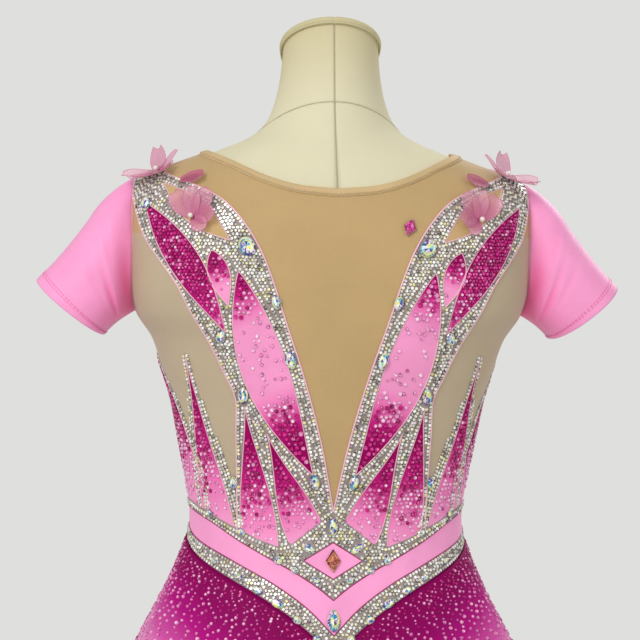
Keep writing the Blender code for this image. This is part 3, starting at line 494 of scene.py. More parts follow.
def leaf(row, t, s):
    """A pointed leaf: t runs from its tip to its foot and s across it from -1 to 1. The axis is a parabola
    pushed sideways by bow, and the half width is a sine of half a turn, skewed so that it peaks at belly."""
    tip, foot, (width, bow, belly) = np.array(row[:2], float), np.array(row[2:4], float), row[4:]
    axis = foot - tip
    length = np.linalg.norm(axis)
    axis /= length
    sideways = np.array([axis[1], -axis[0]])
    half = width / 2 * np.sin(math.pi * t ** (math.log(0.5) / math.log(belly)))
    spine = tip + axis * (t * length)[..., None] - sideways * (bow * 4 * t * (1 - t))[..., None]
    return spine + sideways * (half * s)[..., None]


def leaf_grid(row, down, across):
    t, s = np.meshgrid(np.linspace(0, 1, down + 1), np.linspace(-1, 1, across + 1), indexing="ij")
    return leaf(row, t, s), t


def leaf_loop(row, count=44):
    """The leaf's outline as one closed loop, its points even along the axis."""
    t = (1 - np.cos(np.linspace(0, math.pi, count + 1))) / 2
    right, left = leaf(row, t, np.ones(count + 1)), leaf(row, t, -np.ones(count + 1))
    return np.vstack([right, left[-2:0:-1]])


def armhole_point(turn, shrink=0.0):
    """Armhole oval at an angle from its top, turning to the back: along and height."""
    height = ARMHOLE_HEIGHT + (ARMHOLE_HALF_HEIGHT - shrink) * np.cos(turn)
    return np.stack([side_length(height) - (ARMHOLE_HALF_WIDTH - shrink) * np.sin(turn), height], axis=-1)


def mirror_along(line):
    """The line mirrored about the side line, from the back to the front."""
    return np.column_stack([2 * side_length(line[:, 1]) - line[:, 0], line[:, 1]])


neckline = rounded_edge(to_side(NECKLINE, NECKLINE_SHOULDER))
v_edge = rounded_edge(to_side(V_EDGE, V_EDGE_SHOULDER))
wing_outer = rounded_edge([tuple(armhole_point(WING_ARMHOLE_TURN)), *WING_OUTER, WING_FOOT])
waist_top = np.array(to_side(WAIST_TOP, WAIST_TOP_SIDE))
waist_band_foot = rounded_edge(to_side(WAIST_BAND_FOOT, WAIST_BAND_FOOT_SIDE))
waist_low_top = rounded_edge(to_side(WAIST_LOW_TOP, WAIST_LOW_TOP_SIDE))
waist_foot = rounded_edge(to_side(WAIST_FOOT, WAIST_FOOT_SIDE))
wing_waist = waist_top[: WAIST_TOP.index(WING_FOOT) + 1]
side_waist = waist_top[WAIST_TOP.index(WING_FOOT) :]


def share_reader(edge):
    """Height of an edge at a share of the way to the side line."""
    shares = edge[:, 0] / side_length(edge[:, 1])
    return lambda share: np.interp(np.abs(share), shares, edge[:, 1])


# Meshes


def mesh_object(name, points, faces, material, smooth=True):
    """An object at the origin from points in mm and an array or list of faces."""
    mesh = bpy.data.meshes.new(name)
    placed = (np.asarray(points).reshape(-1, 3) + FRAME_OFFSET) * MM
    mesh.from_pydata(placed, [], faces)
    if smooth:
        mesh.shade_smooth()
    else:
        mesh.shade_flat()
    mesh.materials.append(material)
    made = bpy.data.objects.new(name, mesh)
    bpy.context.scene.collection.objects.link(made)
    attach(made, "root")
    return made


def grid_quads(rows, columns, closed):
    """Quads of a grid of points, row by row. A closed grid joins its last column to its first."""
    index = np.arange(rows * columns).reshape(rows, columns)
    beside = np.roll(index, -1, axis=1)
    if not closed:
        index, beside = index[:, :-1], beside[:, :-1]
    return np.stack([index[:-1], beside[:-1], beside[1:], index[1:]], axis=-1).reshape(-1, 4)


def turned_out(quads, points, outward):
    """The quads, all wound the other way if their normals point against the outward directions."""
    corners = points.reshape(-1, 3)[quads]
    normal = np.cross(corners[:, 2] - corners[:, 0], corners[:, 3] - corners[:, 1])
    facing = (normal * outward.reshape(-1, 3)[quads[:, 0]]).sum()
    return quads if facing > 0 else quads[:, ::-1]


def add_values(made, name, values):
    """A number for each point of the mesh, for its material to read."""
    attribute = made.data.attributes.new(name, "FLOAT", "POINT")
    attribute.data.foreach_set("value", np.asarray(values, np.float32).ravel())


def weld(made, distance=0.02):
    """Merges points that lie on each other, as at the tip of a leaf."""
    shape = bmesh.new()
    shape.from_mesh(made.data)
    bmesh.ops.remove_doubles(shape, verts=shape.verts, dist=distance * MM)
    shape.to_mesh(made.data)
    shape.free()


def thicken(made, thickness=CLOTH_THICKNESS):
    """Cloth with a real thickness, grown inwards."""
    wall = made.modifiers.new("thickness", "SOLIDIFY")
    wall.thickness = thickness * MM
    wall.offset = -1.0
    wall.use_even_offset = True
    wall.use_quality_normals = True


def cloth_size(grid):
    """Longest row and longest column of a grid of cloth, and the area of its quads, in metres."""
    across = np.linalg.norm(np.diff(grid, axis=1), axis=2).sum(axis=1).max()
    down = np.linalg.norm(np.diff(grid, axis=0), axis=2).sum(axis=0).max()
    first = np.cross(grid[1:, :-1] - grid[:-1, :-1], grid[:-1, 1:] - grid[:-1, :-1])
    second = np.cross(grid[1:, :-1] - grid[1:, 1:], grid[:-1, 1:] - grid[1:, 1:])
    area = (np.linalg.norm(first, axis=2).sum() + np.linalg.norm(second, axis=2).sum()) / 2
    return (across * MM, down * MM), area * MM * MM


def declare_cloth(grid):
    """Measures the width, length and area of a piece of cloth's grid, and does nothing more with them.
    A declared area has to fill at least 0.3 of width times length. The nets and the side cloths fill less,
    so for them the length said is a shorter one that suits the area, and isn't a measure of the cut."""
    (width, length), area = cloth_size(grid)
    if area / (width * length) < LEAST_AREA_SHARE:
        length = area / (SAID_AREA_SHARE * width)


def grid_piece(name, points, outward, material, closed=False, values=None, smooth=True):
    """A piece made of one grid of points, with its faces turned outward."""
    rows, columns = points.shape[:2]
    quads = turned_out(grid_quads(rows, columns, closed), points, outward)
    made = mesh_object(name, points, quads, material, smooth)
    for key, numbers in (values or {}).items():
        add_values(made, key, numbers)
    weld(made)
    return made


def tube(line, normals, radius, sides=6, closed=False):
    """Points and quads of a thin tube along a line. Its rings are spanned by normals and cross lines."""
    ahead = np.gradient(line, axis=0) if not closed else np.roll(line, -1, axis=0) - np.roll(line, 1, axis=0)
    ahead /= np.maximum(np.linalg.norm(ahead, axis=1, keepdims=True), 1e-9)
    across = np.cross(ahead, normals)
    across /= np.maximum(np.linalg.norm(across, axis=1, keepdims=True), 1e-9)
    turn = np.arange(sides) * 2 * math.pi / sides
    ring = np.cos(turn)[:, None] * across[:, None, :] + np.sin(turn)[:, None] * normals[:, None, :]
    points = line[:, None, :] + radius * ring
    quads = grid_quads(len(line), sides, closed=True)
    if closed:
        last, first = (len(line) - 1) * sides + np.arange(sides), np.arange(sides)
        quads = np.vstack([quads, np.stack([last, np.roll(last, -1), np.roll(first, -1), first], axis=1)])
    return points.reshape(-1, 3), turned_out(quads, points.reshape(-1, 3), ring.reshape(-1, 3))


def joined(parts):
    """Points and quads of many parts as one."""
    points, quads, count = [], [], 0
    for some_points, some_quads in parts:
        points.append(some_points)
        quads.append(some_quads + count)
        count += len(some_points)
    return np.vstack(points), np.vstack(quads)


def stitches(centres, directions, normals, length, radius):
    """Thread stitches: each a spindle of four sides from end to end, its middle standing on the cloth."""
    across = np.cross(directions, normals)
    turn = np.arange(4) * math.pi / 2
    sideways = np.cos(turn)[None, :, None] * across[:, None, :]
    upright = np.sin(turn)[None, :, None] * normals[:, None, :]
    ring = sideways + upright
    reach = np.array([-0.5, -0.3, 0.3, 0.5]) * length
    width = np.array([0.35, 1.0, 1.0, 0.35]) * radius
    middle = centres[:, None, None, :] + reach[None, :, None, None] * directions[:, None, None, :]
    points = middle + width[None, :, None, None] * ring[:, None, :, :]
    one = grid_quads(4, 4, closed=True)
    one = np.vstack([one, [[3, 2, 1, 0]], [[12, 13, 14, 15]]])
    quads = (one[None, :, :] + 16 * np.arange(len(centres))[:, None, None]).reshape(-1, 4)
    outward = np.broadcast_to(ring[:, None], points.shape)
    return points.reshape(-1, 3), turned_out(quads, points.reshape(-1, 3), outward.reshape(-1, 3))


# Materials


def add_node(tree, kind, inputs=None, **settings):
    """A node with its settings and its unlinked inputs' values."""
    node = tree.nodes.new(kind)
    for key, value in settings.items():
        setattr(node, key, value)
    for key, value in (inputs or {}).items():
        node.inputs[key].default_value = value
    return node


def math_node(tree, operation, first, second):
    """A Math node whose two inputs are sockets or numbers."""
    node = add_node(tree, "ShaderNodeMath", operation=operation)
    for slot, value in enumerate((first, second)):
        if isinstance(value, (int, float)):
            node.inputs[slot].default_value = value
        else:
            tree.links.new(value, node.inputs[slot])
    return node.outputs[0]


def new_group(name, inputs, outputs):
    """An empty shader group. Inputs are (name, socket type, value) and outputs (name, socket type)."""
    group = bpy.data.node_groups.new(name, "ShaderNodeTree")
    for label, kind, value in inputs:
        socket = group.interface.new_socket(label, in_out="INPUT", socket_type=kind)
        if value is not None:
            socket.default_value = value
    for label, kind in outputs:
        group.interface.new_socket(label, in_out="OUTPUT", socket_type=kind)
    return group, add_node(group, "NodeGroupInput"), add_node(group, "NodeGroupOutput")


def knit_group():
    """Height and tone of a fine knit: sines across and up the cloth, with uneven yarn."""
    group, enter, leave = new_group(
        "knit",
        [("Pitch", "NodeSocketFloat", 0.001), ("Unevenness", "NodeSocketFloat", 0.3)],
        [("Height", "NodeSocketFloat"), ("Tone", "NodeSocketFloat")],
    )
    place_node = add_node(group, "ShaderNodeTexCoord")
    parts = add_node(group, "ShaderNodeSeparateXYZ")
    group.links.new(place_node.outputs["Object"], parts.inputs[0])
    rate = math_node(group, "DIVIDE", 2 * math.pi, enter.outputs["Pitch"])
    slant = math_node(group, "MULTIPLY", parts.outputs["Y"], 0.8)
    across = math_node(group, "ADD", parts.outputs["X"], slant)
    columns = math_node(group, "SINE", math_node(group, "MULTIPLY", across, rate), 0.0)
    rows = math_node(group, "SINE", math_node(group, "MULTIPLY", parts.outputs["Z"], rate), 0.0)
    noise = add_node(group, "ShaderNodeTexNoise", {"Scale": 900.0, "Detail": 2.0, "Roughness": 0.6})
    group.links.new(place_node.outputs["Object"], noise.inputs["Vector"])
    uneven = math_node(group, "MULTIPLY", noise.outputs["Fac"], enter.outputs["Unevenness"])
    weave = math_node(group, "MULTIPLY", math_node(group, "MULTIPLY", columns, rows), 0.25)
    height = math_node(group, "ADD", weave, uneven)
    group.links.new(height, leave.inputs["Height"])
    group.links.new(math_node(group, "ADD", height, 0.5), leave.inputs["Tone"])
    return group


def mottle_group():
    """A slow change over the surface, from Low to High, at a scale in turns for each metre."""
    group, enter, leave = new_group(
        "mottle",
        [
            ("Scale", "NodeSocketFloat", 20.0),
            ("Low", "NodeSocketFloat", 0.9),
            ("High", "NodeSocketFloat", 1.1),
        ],
        [("Factor", "NodeSocketFloat")],
    )
    place_node = add_node(group, "ShaderNodeTexCoord")
    noise = add_node(group, "ShaderNodeTexNoise", {"Detail": 4.0, "Roughness": 0.55})
    group.links.new(place_node.outputs["Object"], noise.inputs["Vector"])
    group.links.new(enter.outputs["Scale"], noise.inputs["Scale"])
    spread = add_node(group, "ShaderNodeMapRange", {"From Min": 0.3, "From Max": 0.7})
    group.links.new(noise.outputs["Fac"], spread.inputs["Value"])
    group.links.new(enter.outputs["Low"], spread.inputs["To Min"])
    group.links.new(enter.outputs["High"], spread.inputs["To Max"])
    group.links.new(spread.outputs["Result"], leave.inputs["Factor"])
    return group


KNIT = knit_group()
MOTTLE = mottle_group()


def grouped(tree, group, **values):
    node = add_node(tree, "ShaderNodeGroup", node_tree=group)
    for key, value in values.items():
        node.inputs[key].default_value = value
    return node


def times(tree, colour, factor):
    """A colour socket made lighter or darker by a factor socket."""
    node = add_node(tree, "ShaderNodeVectorMath", operation="SCALE")
    tree.links.new(colour, node.inputs[0])
    tree.links.new(factor, node.inputs["Scale"])
    return node.outputs[0]


def map_range(tree, value, before, after):
    """A value socket carried from one range to another."""
    node = add_node(tree, "ShaderNodeMapRange")
    for label, number in zip(("From Min", "From Max", "To Min", "To Max"), (*before, *after)):
        node.inputs[label].default_value = number
    tree.links.new(value, node.inputs["Value"])
    return node.outputs["Result"]


def plain_colour(tree, colour):
    node = add_node(tree, "ShaderNodeRGB")
    node.outputs[0].default_value = (*colour, 1.0)
    return node.outputs[0]


def ramp(tree, factor, stops):
    """Colours along a factor socket. Stops are (position, colour)."""
    node = add_node(tree, "ShaderNodeValToRGB")
    while len(node.color_ramp.elements) < len(stops):
        node.color_ramp.elements.new(0.5)
    for element, (position, colour) in zip(node.color_ramp.elements, stops):
        element.position = position
        element.color = (*colour, 1.0)
    tree.links.new(factor, node.inputs["Fac"])
    return node.outputs["Color"]


def read_value(tree, name, output="Fac"):
    node = add_node(tree, "ShaderNodeAttribute", attribute_name=name)
    return node.outputs[output]


def finish(
    name,
    roughness,
    colour=None,
    stops=None,
    value=None,
    pitch=0.0011,
    bump=0.00006,
    mottle=(25.0, 0.94, 1.06),
    **sockets,
):
    """A cloth or trim material: its colour is plain, or runs over stops by a value on the mesh."""
    material = bpy.data.materials.new(name)
    material.use_nodes = True
    tree = material.node_tree
    shader = tree.nodes["Principled BSDF"]
    shader.inputs["Roughness"].default_value = roughness
    for key, number in sockets.items():
        shader.inputs[key.replace("_", " ")].default_value = number
    base = ramp(tree, read_value(tree, value), stops) if stops else plain_colour(tree, colour)
    scale, low, high = mottle
    spots = grouped(tree, MOTTLE, Scale=scale, Low=low, High=high)
    base = times(tree, base, spots.outputs["Factor"])
    if bump:
        knit = grouped(tree, KNIT, Pitch=pitch)
        relief = add_node(tree, "ShaderNodeBump", {"Strength": 1.0, "Distance": bump})
        tree.links.new(knit.outputs["Height"], relief.inputs["Height"])
        tree.links.new(relief.outputs["Normal"], shader.inputs["Normal"])
        base = times(tree, base, map_range(tree, knit.outputs["Tone"], (0.2, 1.1), (0.95, 1.04)))
    tree.links.new(base, shader.inputs["Base Color"])
    return material


def set_colour(material, change):
    """Puts the material's base colour through one more step, a function of (tree, colour socket)."""
    tree = material.node_tree
    target = tree.nodes["Principled BSDF"].inputs["Base Color"]
    before = target.links[0].from_socket
    tree.links.new(change(tree, before), target)


def darkened_by(value, colour):
    """A step that mixes in a colour where a value on the mesh is high."""

    def change(tree, before):
        mix = add_node(tree, "ShaderNodeMix", data_type="RGBA")
        tree.links.new(read_value(tree, value), mix.inputs["Factor"])
        tree.links.new(before, mix.inputs["A"])
        mix.inputs["B"].default_value = (*colour, 1.0)
        return mix.outputs["Result"]

    return change


def sheer_material(name, colour, thin, thick):
    """Net: a fine mesh whose yarn covers more where the net is dense, so the form shows through a little."""
    mottle = (14.0, 0.95, 1.05)
    material = finish(name, 0.75, colour, pitch=0.0014, bump=0.00008, mottle=mottle, Sheen_Weight=0.15)
    tree = material.node_tree
    knit = grouped(tree, KNIT, Pitch=0.0014, Unevenness=0.5)
    cover = map_range(tree, knit.outputs["Tone"], (0.35, 1.1), (thin, thick))
    tree.links.new(cover, tree.nodes["Principled BSDF"].inputs["Alpha"])
    return material


def side_material():
    """The side panel's cloth: sheer net above the seam under the arm, and a thicker nude cloth below it."""
    material = sheer_material("side_cloth", NUDE, 0.84, 0.97)
    tree = material.node_tree
    shader = tree.nodes["Principled BSDF"]
    seam = read_value(tree, "above_seam")
    cover = shader.inputs["Alpha"].links[0].from_socket
    mix = add_node(tree, "ShaderNodeMix")
    tree.links.new(seam, mix.inputs["Factor"])
    mix.inputs["A"].default_value = 1.0
    tree.links.new(cover, mix.inputs["B"])
    tree.links.new(mix.outputs["Result"], shader.inputs["Alpha"])
    set_colour(material, darkened_by("above_seam", SHEER))
    return material


def facet_material(name, roughness, metallic, **sockets):
    """Cut glass on foil: each facet has a colour kept on the mesh, the glass's tint mixed with painted
    reflection and painted shade, and there is fine wear in its gloss.
    """
    material = bpy.data.materials.new(name)
    material.use_nodes = True
    tree = material.node_tree
    shader = tree.nodes["Principled BSDF"]
    shader.inputs["Metallic"].default_value = metallic
    for key, number in sockets.items():
        shader.inputs[key.replace("_", " ")].default_value = number
    spots = grouped(tree, MOTTLE, Scale=260.0, Low=0.92, High=1.06)
    facet = times(tree, read_value(tree, "facet", "Color"), spots.outputs["Factor"])
    tree.links.new(facet, shader.inputs["Base Color"])
    worn = grouped(tree, MOTTLE, Scale=500.0, Low=roughness * 0.8, High=roughness * 1.3)
    tree.links.new(worn.outputs["Factor"], shader.inputs["Roughness"])
    return material


def petal_material():
    """Organza: sheer, paler towards the rim, with fine veins along the petal."""
    stops = (
        (0.0, srgb(150, 16, 96)),
        (0.3, srgb(186, 62, 124)),
        (0.65, srgb(214, 122, 160)),
        (1.0, srgb(234, 176, 194)),
    )
    knit = {"pitch": 0.0008, "bump": 0.00003}
    material = finish("petal", 0.42, stops=stops, value="shade", Sheen_Weight=0.2, **knit)
    tree = material.node_tree
    shader = tree.nodes["Principled BSDF"]
    veins = math_node(tree, "SINE", math_node(tree, "MULTIPLY", read_value(tree, "across"), 26.0), 0.0)
    tree.links.new(map_range(tree, veins, (-1.0, 1.0), (0.6, 0.72)), shader.inputs["Alpha"])
    return material


LYCRA = {"Sheen_Weight": 0.15, "Sheen_Roughness": 0.4, "Specular_IOR_Level": 0.3}
DEEP_LYCRA = {"Sheen_Weight": 0.0, "Specular_IOR_Level": 0.08}
OMBRE_STOPS = (
    (0.0, srgb(243, 154, 201)),
    (0.35, srgb(236, 116, 182)),
    (0.65, srgb(196, 30, 128)),
    (1.0, srgb(150, 0, 92)),
)
SKIRT_STOPS = (
    (0.0, srgb(128, 0, 80)),
    (0.2, srgb(142, 0, 94)),
    (0.4, srgb(176, 14, 126)),
    (0.65, srgb(208, 82, 164)),
    (1.0, srgb(236, 166, 210)),
)
pink_cloth = finish("pink_lycra", 0.5, srgb(250, 158, 207), **LYCRA)
# Painted shade: a deeper pink mixed into the sleeves' creases and onto their underside near the armhole
set_colour(pink_cloth, darkened_by("painted_crease_shade", srgb(255, 96, 166)))
yoke_cloth = finish("pink_yoke", 0.5, srgb(249, 160, 209), **LYCRA)
ombre_cloth = finish("ombre_lycra", 0.5, stops=OMBRE_STOPS, value="ombre", **DEEP_LYCRA)
skirt_cloth = finish("skirt_lycra", 0.6, stops=SKIRT_STOPS, value="ombre", **DEEP_LYCRA)
skirt_hem_cloth = finish("skirt_hem_cloth", 0.5, srgb(226, 150, 200), **LYCRA)
brief_cloth = finish("brief_lycra", 0.55, srgb(140, 0, 92), **DEEP_LYCRA)
nude_cloth = finish("nude_leaf", 0.7, SHEER, pitch=0.0014, bump=0.00008)
# Painted shade: the ground under the crystals is greyed well below its own pale pink, for the shadows
# between the stones
ground_cloth_and_shade = finish("band_ground_and_shade", 0.5, srgb(158, 142, 140), mottle=(160.0, 0.8, 1.15))
SATIN = {"bump": 0.0, "Coat_Weight": 0.2}
piping_satin = finish("piping", 0.35, srgb(238, 188, 202), mottle=(60.0, 0.92, 1.05), **SATIN)
dark_piping = finish("dark_piping", 0.35, srgb(158, 30, 100), mottle=(60.0, 0.9, 1.05), **SATIN)
binding_cloth = finish("binding_cloth", 0.7, srgb(200, 172, 126), pitch=0.0012, bump=0.0001)
thread = finish("thread", 0.6, srgb(196, 168, 122), bump=0.0, mottle=(300.0, 0.9, 1.1))
form_thread = finish("form_thread", 0.8, srgb(182, 173, 140), bump=0.0, mottle=(60.0, 0.85, 1.12))
pink_thread = finish("pink_thread", 0.55, srgb(236, 120, 182), bump=0.0, mottle=(300.0, 0.88, 1.1))
linen = finish("form_linen", 0.9, srgb(218, 211, 180), pitch=0.0016, bump=0.00012, mottle=(9.0, 0.95, 1.03))
set_colour(linen, darkened_by("worn", srgb(196, 182, 134)))
set_colour(linen, darkened_by("seam", srgb(132, 126, 104)))
cap_cloth = finish(
    "cap_linen",
    0.85,
    srgb(200, 190, 150),
    pitch=0.0016,
    bump=0.0001,
    mottle=(12.0, 0.93, 1.04),
)
net_cloth = sheer_material("net", SHEER, 0.80, 0.96)
side_cloth = side_material()
organza = petal_material()
rim_thread = finish("petal_rim", 0.5, srgb(212, 122, 158), bump=0.0, mottle=(200.0, 0.9, 1.1))
pearl_shell = finish(
    "pearl_shell",
    0.22,
    srgb(232, 222, 214),
    bump=0.0,
    mottle=(120.0, 0.94, 1.05),
    Coat_Weight=0.8,
)
crystal_glass = facet_material("crystal_glass", 0.2, 0.1, Specular_IOR_Level=0.7)
cell_glass = facet_material("cell_glass", 0.24, 0.05, Specular_IOR_Level=0.4)
stone_glass = facet_material("stone_glass", 0.1, 0.1, Coat_Weight=0.5)


# Dress form


def neck_seam_height(share):
    """Height of the neck seam, a cosine from the centre line down to the side line."""
    from_centre = 1 - np.abs(1 - np.abs(share))
    return NECK_SEAM_SIDE + (NECK_SEAM_TOP - NECK_SEAM_SIDE) * np.cos(math.pi / 2 * from_centre)


def tilted(points):
    """The form's neck leans its rings back more and more towards the cap."""
    top = BODY_ROWS[-1][0]
    tilt = NECK_TILT * np.clip((points[..., 2:] - NECK_TILT_START) / (top - NECK_TILT_START), 0, None) ** 2
    return points - (0, 0, 1) * tilt * points[..., 1:2]


def form_seams():
    """Sewn seams of the cover: up the middle of the back and front, and across the neck."""
    heights = np.linspace(540, BODY_ROWS[-1][0] - 0.5, 120)
    middle = np.column_stack([np.zeros(120), heights])
    share = np.linspace(-1, 1, 121)
    arc = np.column_stack([share * side_length(neck_seam_height(share)), neck_seam_height(share)])
    parts = []
    for face in ("back", "front"):
        for line, radius in ((middle, 0.36), (arc, 0.32)):
            points, normals = place(face, line, np.full(len(line), FORM_LEVEL - 0.15))
            parts.append(tube(tilted(points), normals, radius, sides=5))
    sewn = mesh_object("form_seams", *joined(parts), form_thread)


def form_ring_points(heights, columns):
    """Rings of the form just inside the body surface, with a shallow groove along each seam of its cover."""
    turn = np.linspace(0.0, 1.0, columns // 2 + 1)
    shares = 2 * (turn - 0.18 * np.sin(2 * math.pi * turn) / math.pi)
    share, height = np.meshgrid(shares, heights, indexing="ij")
    share, height = share.T, height.T
    ways = np.stack([share * side_length(height), height], axis=-1)
    base, normal = place("back", ways, np.zeros(share.shape))
    reach = np.abs(base[..., 0])
    neck_seam = np.exp(-(((height - neck_seam_height(share)) / 0.9) ** 2))
    back_seam = np.exp(-((reach / 0.55) ** 2)) * (height > 560)
    groove = np.maximum(back_seam, 0.55 * neck_seam)
    points = base + normal * (FORM_LEVEL - 0.7 * groove)[..., None]
    points = tilted(points)
    left, left_normal = points[:, -2:0:-1] * (-1, 1, 1), normal[:, -2:0:-1] * (-1, 1, 1)
    left_groove = groove[:, -2:0:-1]
    return np.hstack([points, left]), np.hstack([normal, left_normal]), np.hstack([groove, left_groove])


def make_form():
    """The form's cover as rings from the crotch to the neck, two leg stubs and the tilted cap."""
    heights = np.concatenate([np.arange(76, 120, 2.0), np.arange(120, 585, 4.0), np.arange(585, 705.5, 1.5)])
    points, normal, groove = form_ring_points(heights, 132)
    worn = 0.6 * np.clip((heights - 655) / 50, 0, 1)[:, None] ** 1.3 * np.ones(groove.shape)
    values = {"seam": 0.38 * groove, "worn": worn}
    body = grid_piece("form_cover", points, normal, linen, closed=True, values=values)
    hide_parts("form_body")
    turn = np.arange(64) * 2 * math.pi / 64
    power = 2.0 / LEG_SQUARENESS
    ring = np.stack(
        [
            np.sign(np.cos(turn)) * np.abs(np.cos(turn)) ** power,
            np.sign(np.sin(turn)) * np.abs(np.sin(turn)) ** power,
            np.zeros(64),
        ],
        axis=1,
    )
    read = smooth_table(LEG_ROWS)
    for side, sign in (("right", 1), ("left", -1)):
        levels = np.concatenate([[0.0, 0.0, 0.0], np.linspace(0.4, 3, 5), np.linspace(6, 112, 36)])
        width, depth = (np.array(size) for size in read(levels))
        shrink = np.ones(len(levels))
        shrink[:3] = (0.0, 0.5, 0.98)
        sizes = np.stack([width * shrink, depth * shrink, np.zeros(len(levels))], axis=1)
        rings = ring[None] * sizes[:, None, :]
        rings = rings + np.array([sign * LEG_CENTRE[0], LEG_CENTRE[1], 0.0])
        rings[..., 2] += levels[:, None]
        outward = np.broadcast_to(ring * (1, 1, 0), rings.shape).copy()
        outward[:3] = (0, 0, -1)
        leg = grid_piece(f"form_leg_{side}", rings, outward, linen, closed=True)
    rim = points[-1]
    middle = rim.mean(axis=0)
    upward = np.array([0.0, NECK_TILT, 1.0])
    upward /= np.linalg.norm(upward)
    profile = np.array(CAP_PROFILE)
    reach, rise = profile[:, 0, None, None], profile[:, 1, None, None]
    cap = middle + (rim - middle)[None] * reach + upward * rise
    outward = (rim - middle)[None] / 40 * reach + upward * (rise > 5) * 2
    lid = grid_piece("neck_cap", cap, outward, cap_cloth, closed=True)
    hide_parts("form_neck_cap")
    seam_line = middle + (rim - middle) * 1.045 + upward * 0.2
    seam_normals = (rim - middle) / np.linalg.norm(rim - middle, axis=1, keepdims=True)
    roll = mesh_object("neck_cap_seam", *tube(seam_line, seam_normals, 0.8, closed=True), cap_cloth)
    form_seams()


# Panels on the body


def coons(bottom, top, left, right):
    """A patch between four edges: the mean of the two ruled surfaces less the one through the corners.
    Bottom and top have equal counts of points, and so have left and right."""
    s = np.linspace(0, 1, len(bottom))[None, :, None]
    t = np.linspace(0, 1, len(left))[:, None, None]
    across = (1 - s) * left[:, None] + s * right[:, None]
    upward = (1 - t) * bottom[None] + t * top[None]
    corners = (
        (1 - s) * (1 - t) * left[0] + s * (1 - t) * right[0] + (1 - s) * t * left[-1] + s * t * right[-1]
    )
    return across + upward - corners


def panel_piece(name, face, points, sign, level, material, values=None, thickness=CLOTH_THICKNESS):
    """A panel from a grid of (along, height), on the right (sign 1) or mirrored to the left (sign -1)."""
    grid, normal = place(face, points, np.full(points.shape[:2], level))
    made = grid_piece(name, grid * (sign, 1, 1), normal * (sign, 1, 1), material, values=values)
    if thickness:
        thicken(made, thickness)
    return made, grid


def make_yokes():
    """The net yokes, from the centre line out to the V edge, mirrored."""
    shoulder = np.array([(float(side_length(h)), h) for h in (V_EDGE_SHOULDER, NECKLINE_SHOULDER)])
    down, across = 100, 36
    outer = resampled(np.vstack([v_edge, shoulder[1:]]), down)
    centre = np.column_stack([np.zeros(down + 1), np.linspace(V_EDGE[0][1], NECKLINE[0][1], down + 1)])
    bottom = np.repeat(outer[:1], across + 1, axis=0)
    top = resampled(neckline, across)
    half = coons(bottom, top, centre, outer)
    whole = np.concatenate([half[:, :0:-1] * (-1, 1), half], axis=1)
    for face in ("back", "front"):
        made, grid = panel_piece(f"{face}_net", face, whole, 1, MESH_LEVEL, net_cloth, thickness=0)
        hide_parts(f"{face}_mesh_yoke")
        declare_cloth(grid)


def wing_grid(down=130, across=28):
    """The wing's ground as a patch from the V edge out, from the waist yoke up to the shoulder."""
    top_height = ARMHOLE_HEIGHT + ARMHOLE_HALF_HEIGHT
    arm = armhole_point(np.linspace(WING_ARMHOLE_TURN, 0, 24))
    outer = resampled(np.vstack([wing_outer[::-1], arm[1:]]), down)
    inner = resampled(v_edge, down)
    bottom = resampled(wing_waist, across)
    heights = np.linspace(V_EDGE_SHOULDER, top_height, across + 1)
    top = np.column_stack([side_length(heights), heights])
    return coons(bottom, top, inner, outer)


def leaf_piece(name, face, row, sign, material, scheme=None, down=60, across=14):
    """A cell's cloth on the crystal ground, its colour running along it by the scheme."""
    points, t = leaf_grid(row, down, across)
    values = {"ombre": scheme(t)} if scheme else None
    flat = above_waist(points, 0.8)
    return panel_piece(name, face, flat, sign, CELL_LEVEL, material, values, thickness=0)[0]


def leaf_sides(row, count=60):
    """The two open sides of a leaf, from tip to foot, as far as they lie above the waist."""
    t, edge = np.linspace(0, 1, count), np.ones(count)
    return [flat[flat[:, 1] > waist_rim(flat) + 0.8] for flat in (leaf(row, t, edge), leaf(row, t, -edge))]


def tip_scheme(t):
    """Deep colour at the tip, pale from the middle on."""
    return np.clip(1.4 - 2.1 * t, 0.0, 1.0)


def both_scheme(t):
    """Deep colour at the tip and the foot, pale in the middle."""
    return np.clip(np.maximum(1.15 - 4.6 * t, 3.6 * t - 2.0), 0.0, 1.0)


def deep_scheme(t):
    """Deep colour that only gives way a little towards the foot."""
    return np.clip(1.85 - 1.5 * t, 0.38, 1.0)


def gore_scheme(t):
    """The tip's colours, over a shorter way on the long gore."""
    return tip_scheme(t * 1.25)


SCHEMES = {"tip": tip_scheme, "both": both_scheme, "deep": deep_scheme}


def outline_tube(face, line, sign, level, radius, closed):
    points, normals = place(face, line, np.full(len(line), level))
    mirror = (sign, 1, 1)
    return tube(points * mirror, normals * mirror, radius, closed=closed)


def make_wings():
    """The crystal wings: a ground, its pointed cells laid on it, and satin piping along every edge."""
    ground = wing_grid()
    for face in ("back", "front"):
        for side, sign in (("right", 1), ("left", -1)):
            for number, (scheme, *row) in enumerate(WING_CELLS):
                cloth = nude_cloth if scheme == "nude" else ombre_cloth
                cell = f"{face}_cell_{side}_{number}"
                leaf_made = leaf_piece(cell, face, row, sign, cloth, SCHEMES.get(scheme))
            tubes = [outline_tube(face, v_edge, sign, PIPING_LEVEL, 0.85, False)]
            tubes.append(outline_tube(face, wing_outer, sign, PIPING_LEVEL, 0.85, False))
            for _, *row in WING_CELLS:
                for line in leaf_sides(row):
                    tubes.append(outline_tube(face, line, sign, PIPING_LEVEL, 0.5, False))
            piping = mesh_object(f"{face}_piping_{side}", *joined(tubes), piping_satin)
            ground_name = f"{face}_wing_{side}_ground"
            made, grid = panel_piece(ground_name, face, ground, sign, WING_LEVEL, ground_cloth_and_shade)
            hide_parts(f"{face}_wing_{side}")
            declare_cloth(grid)


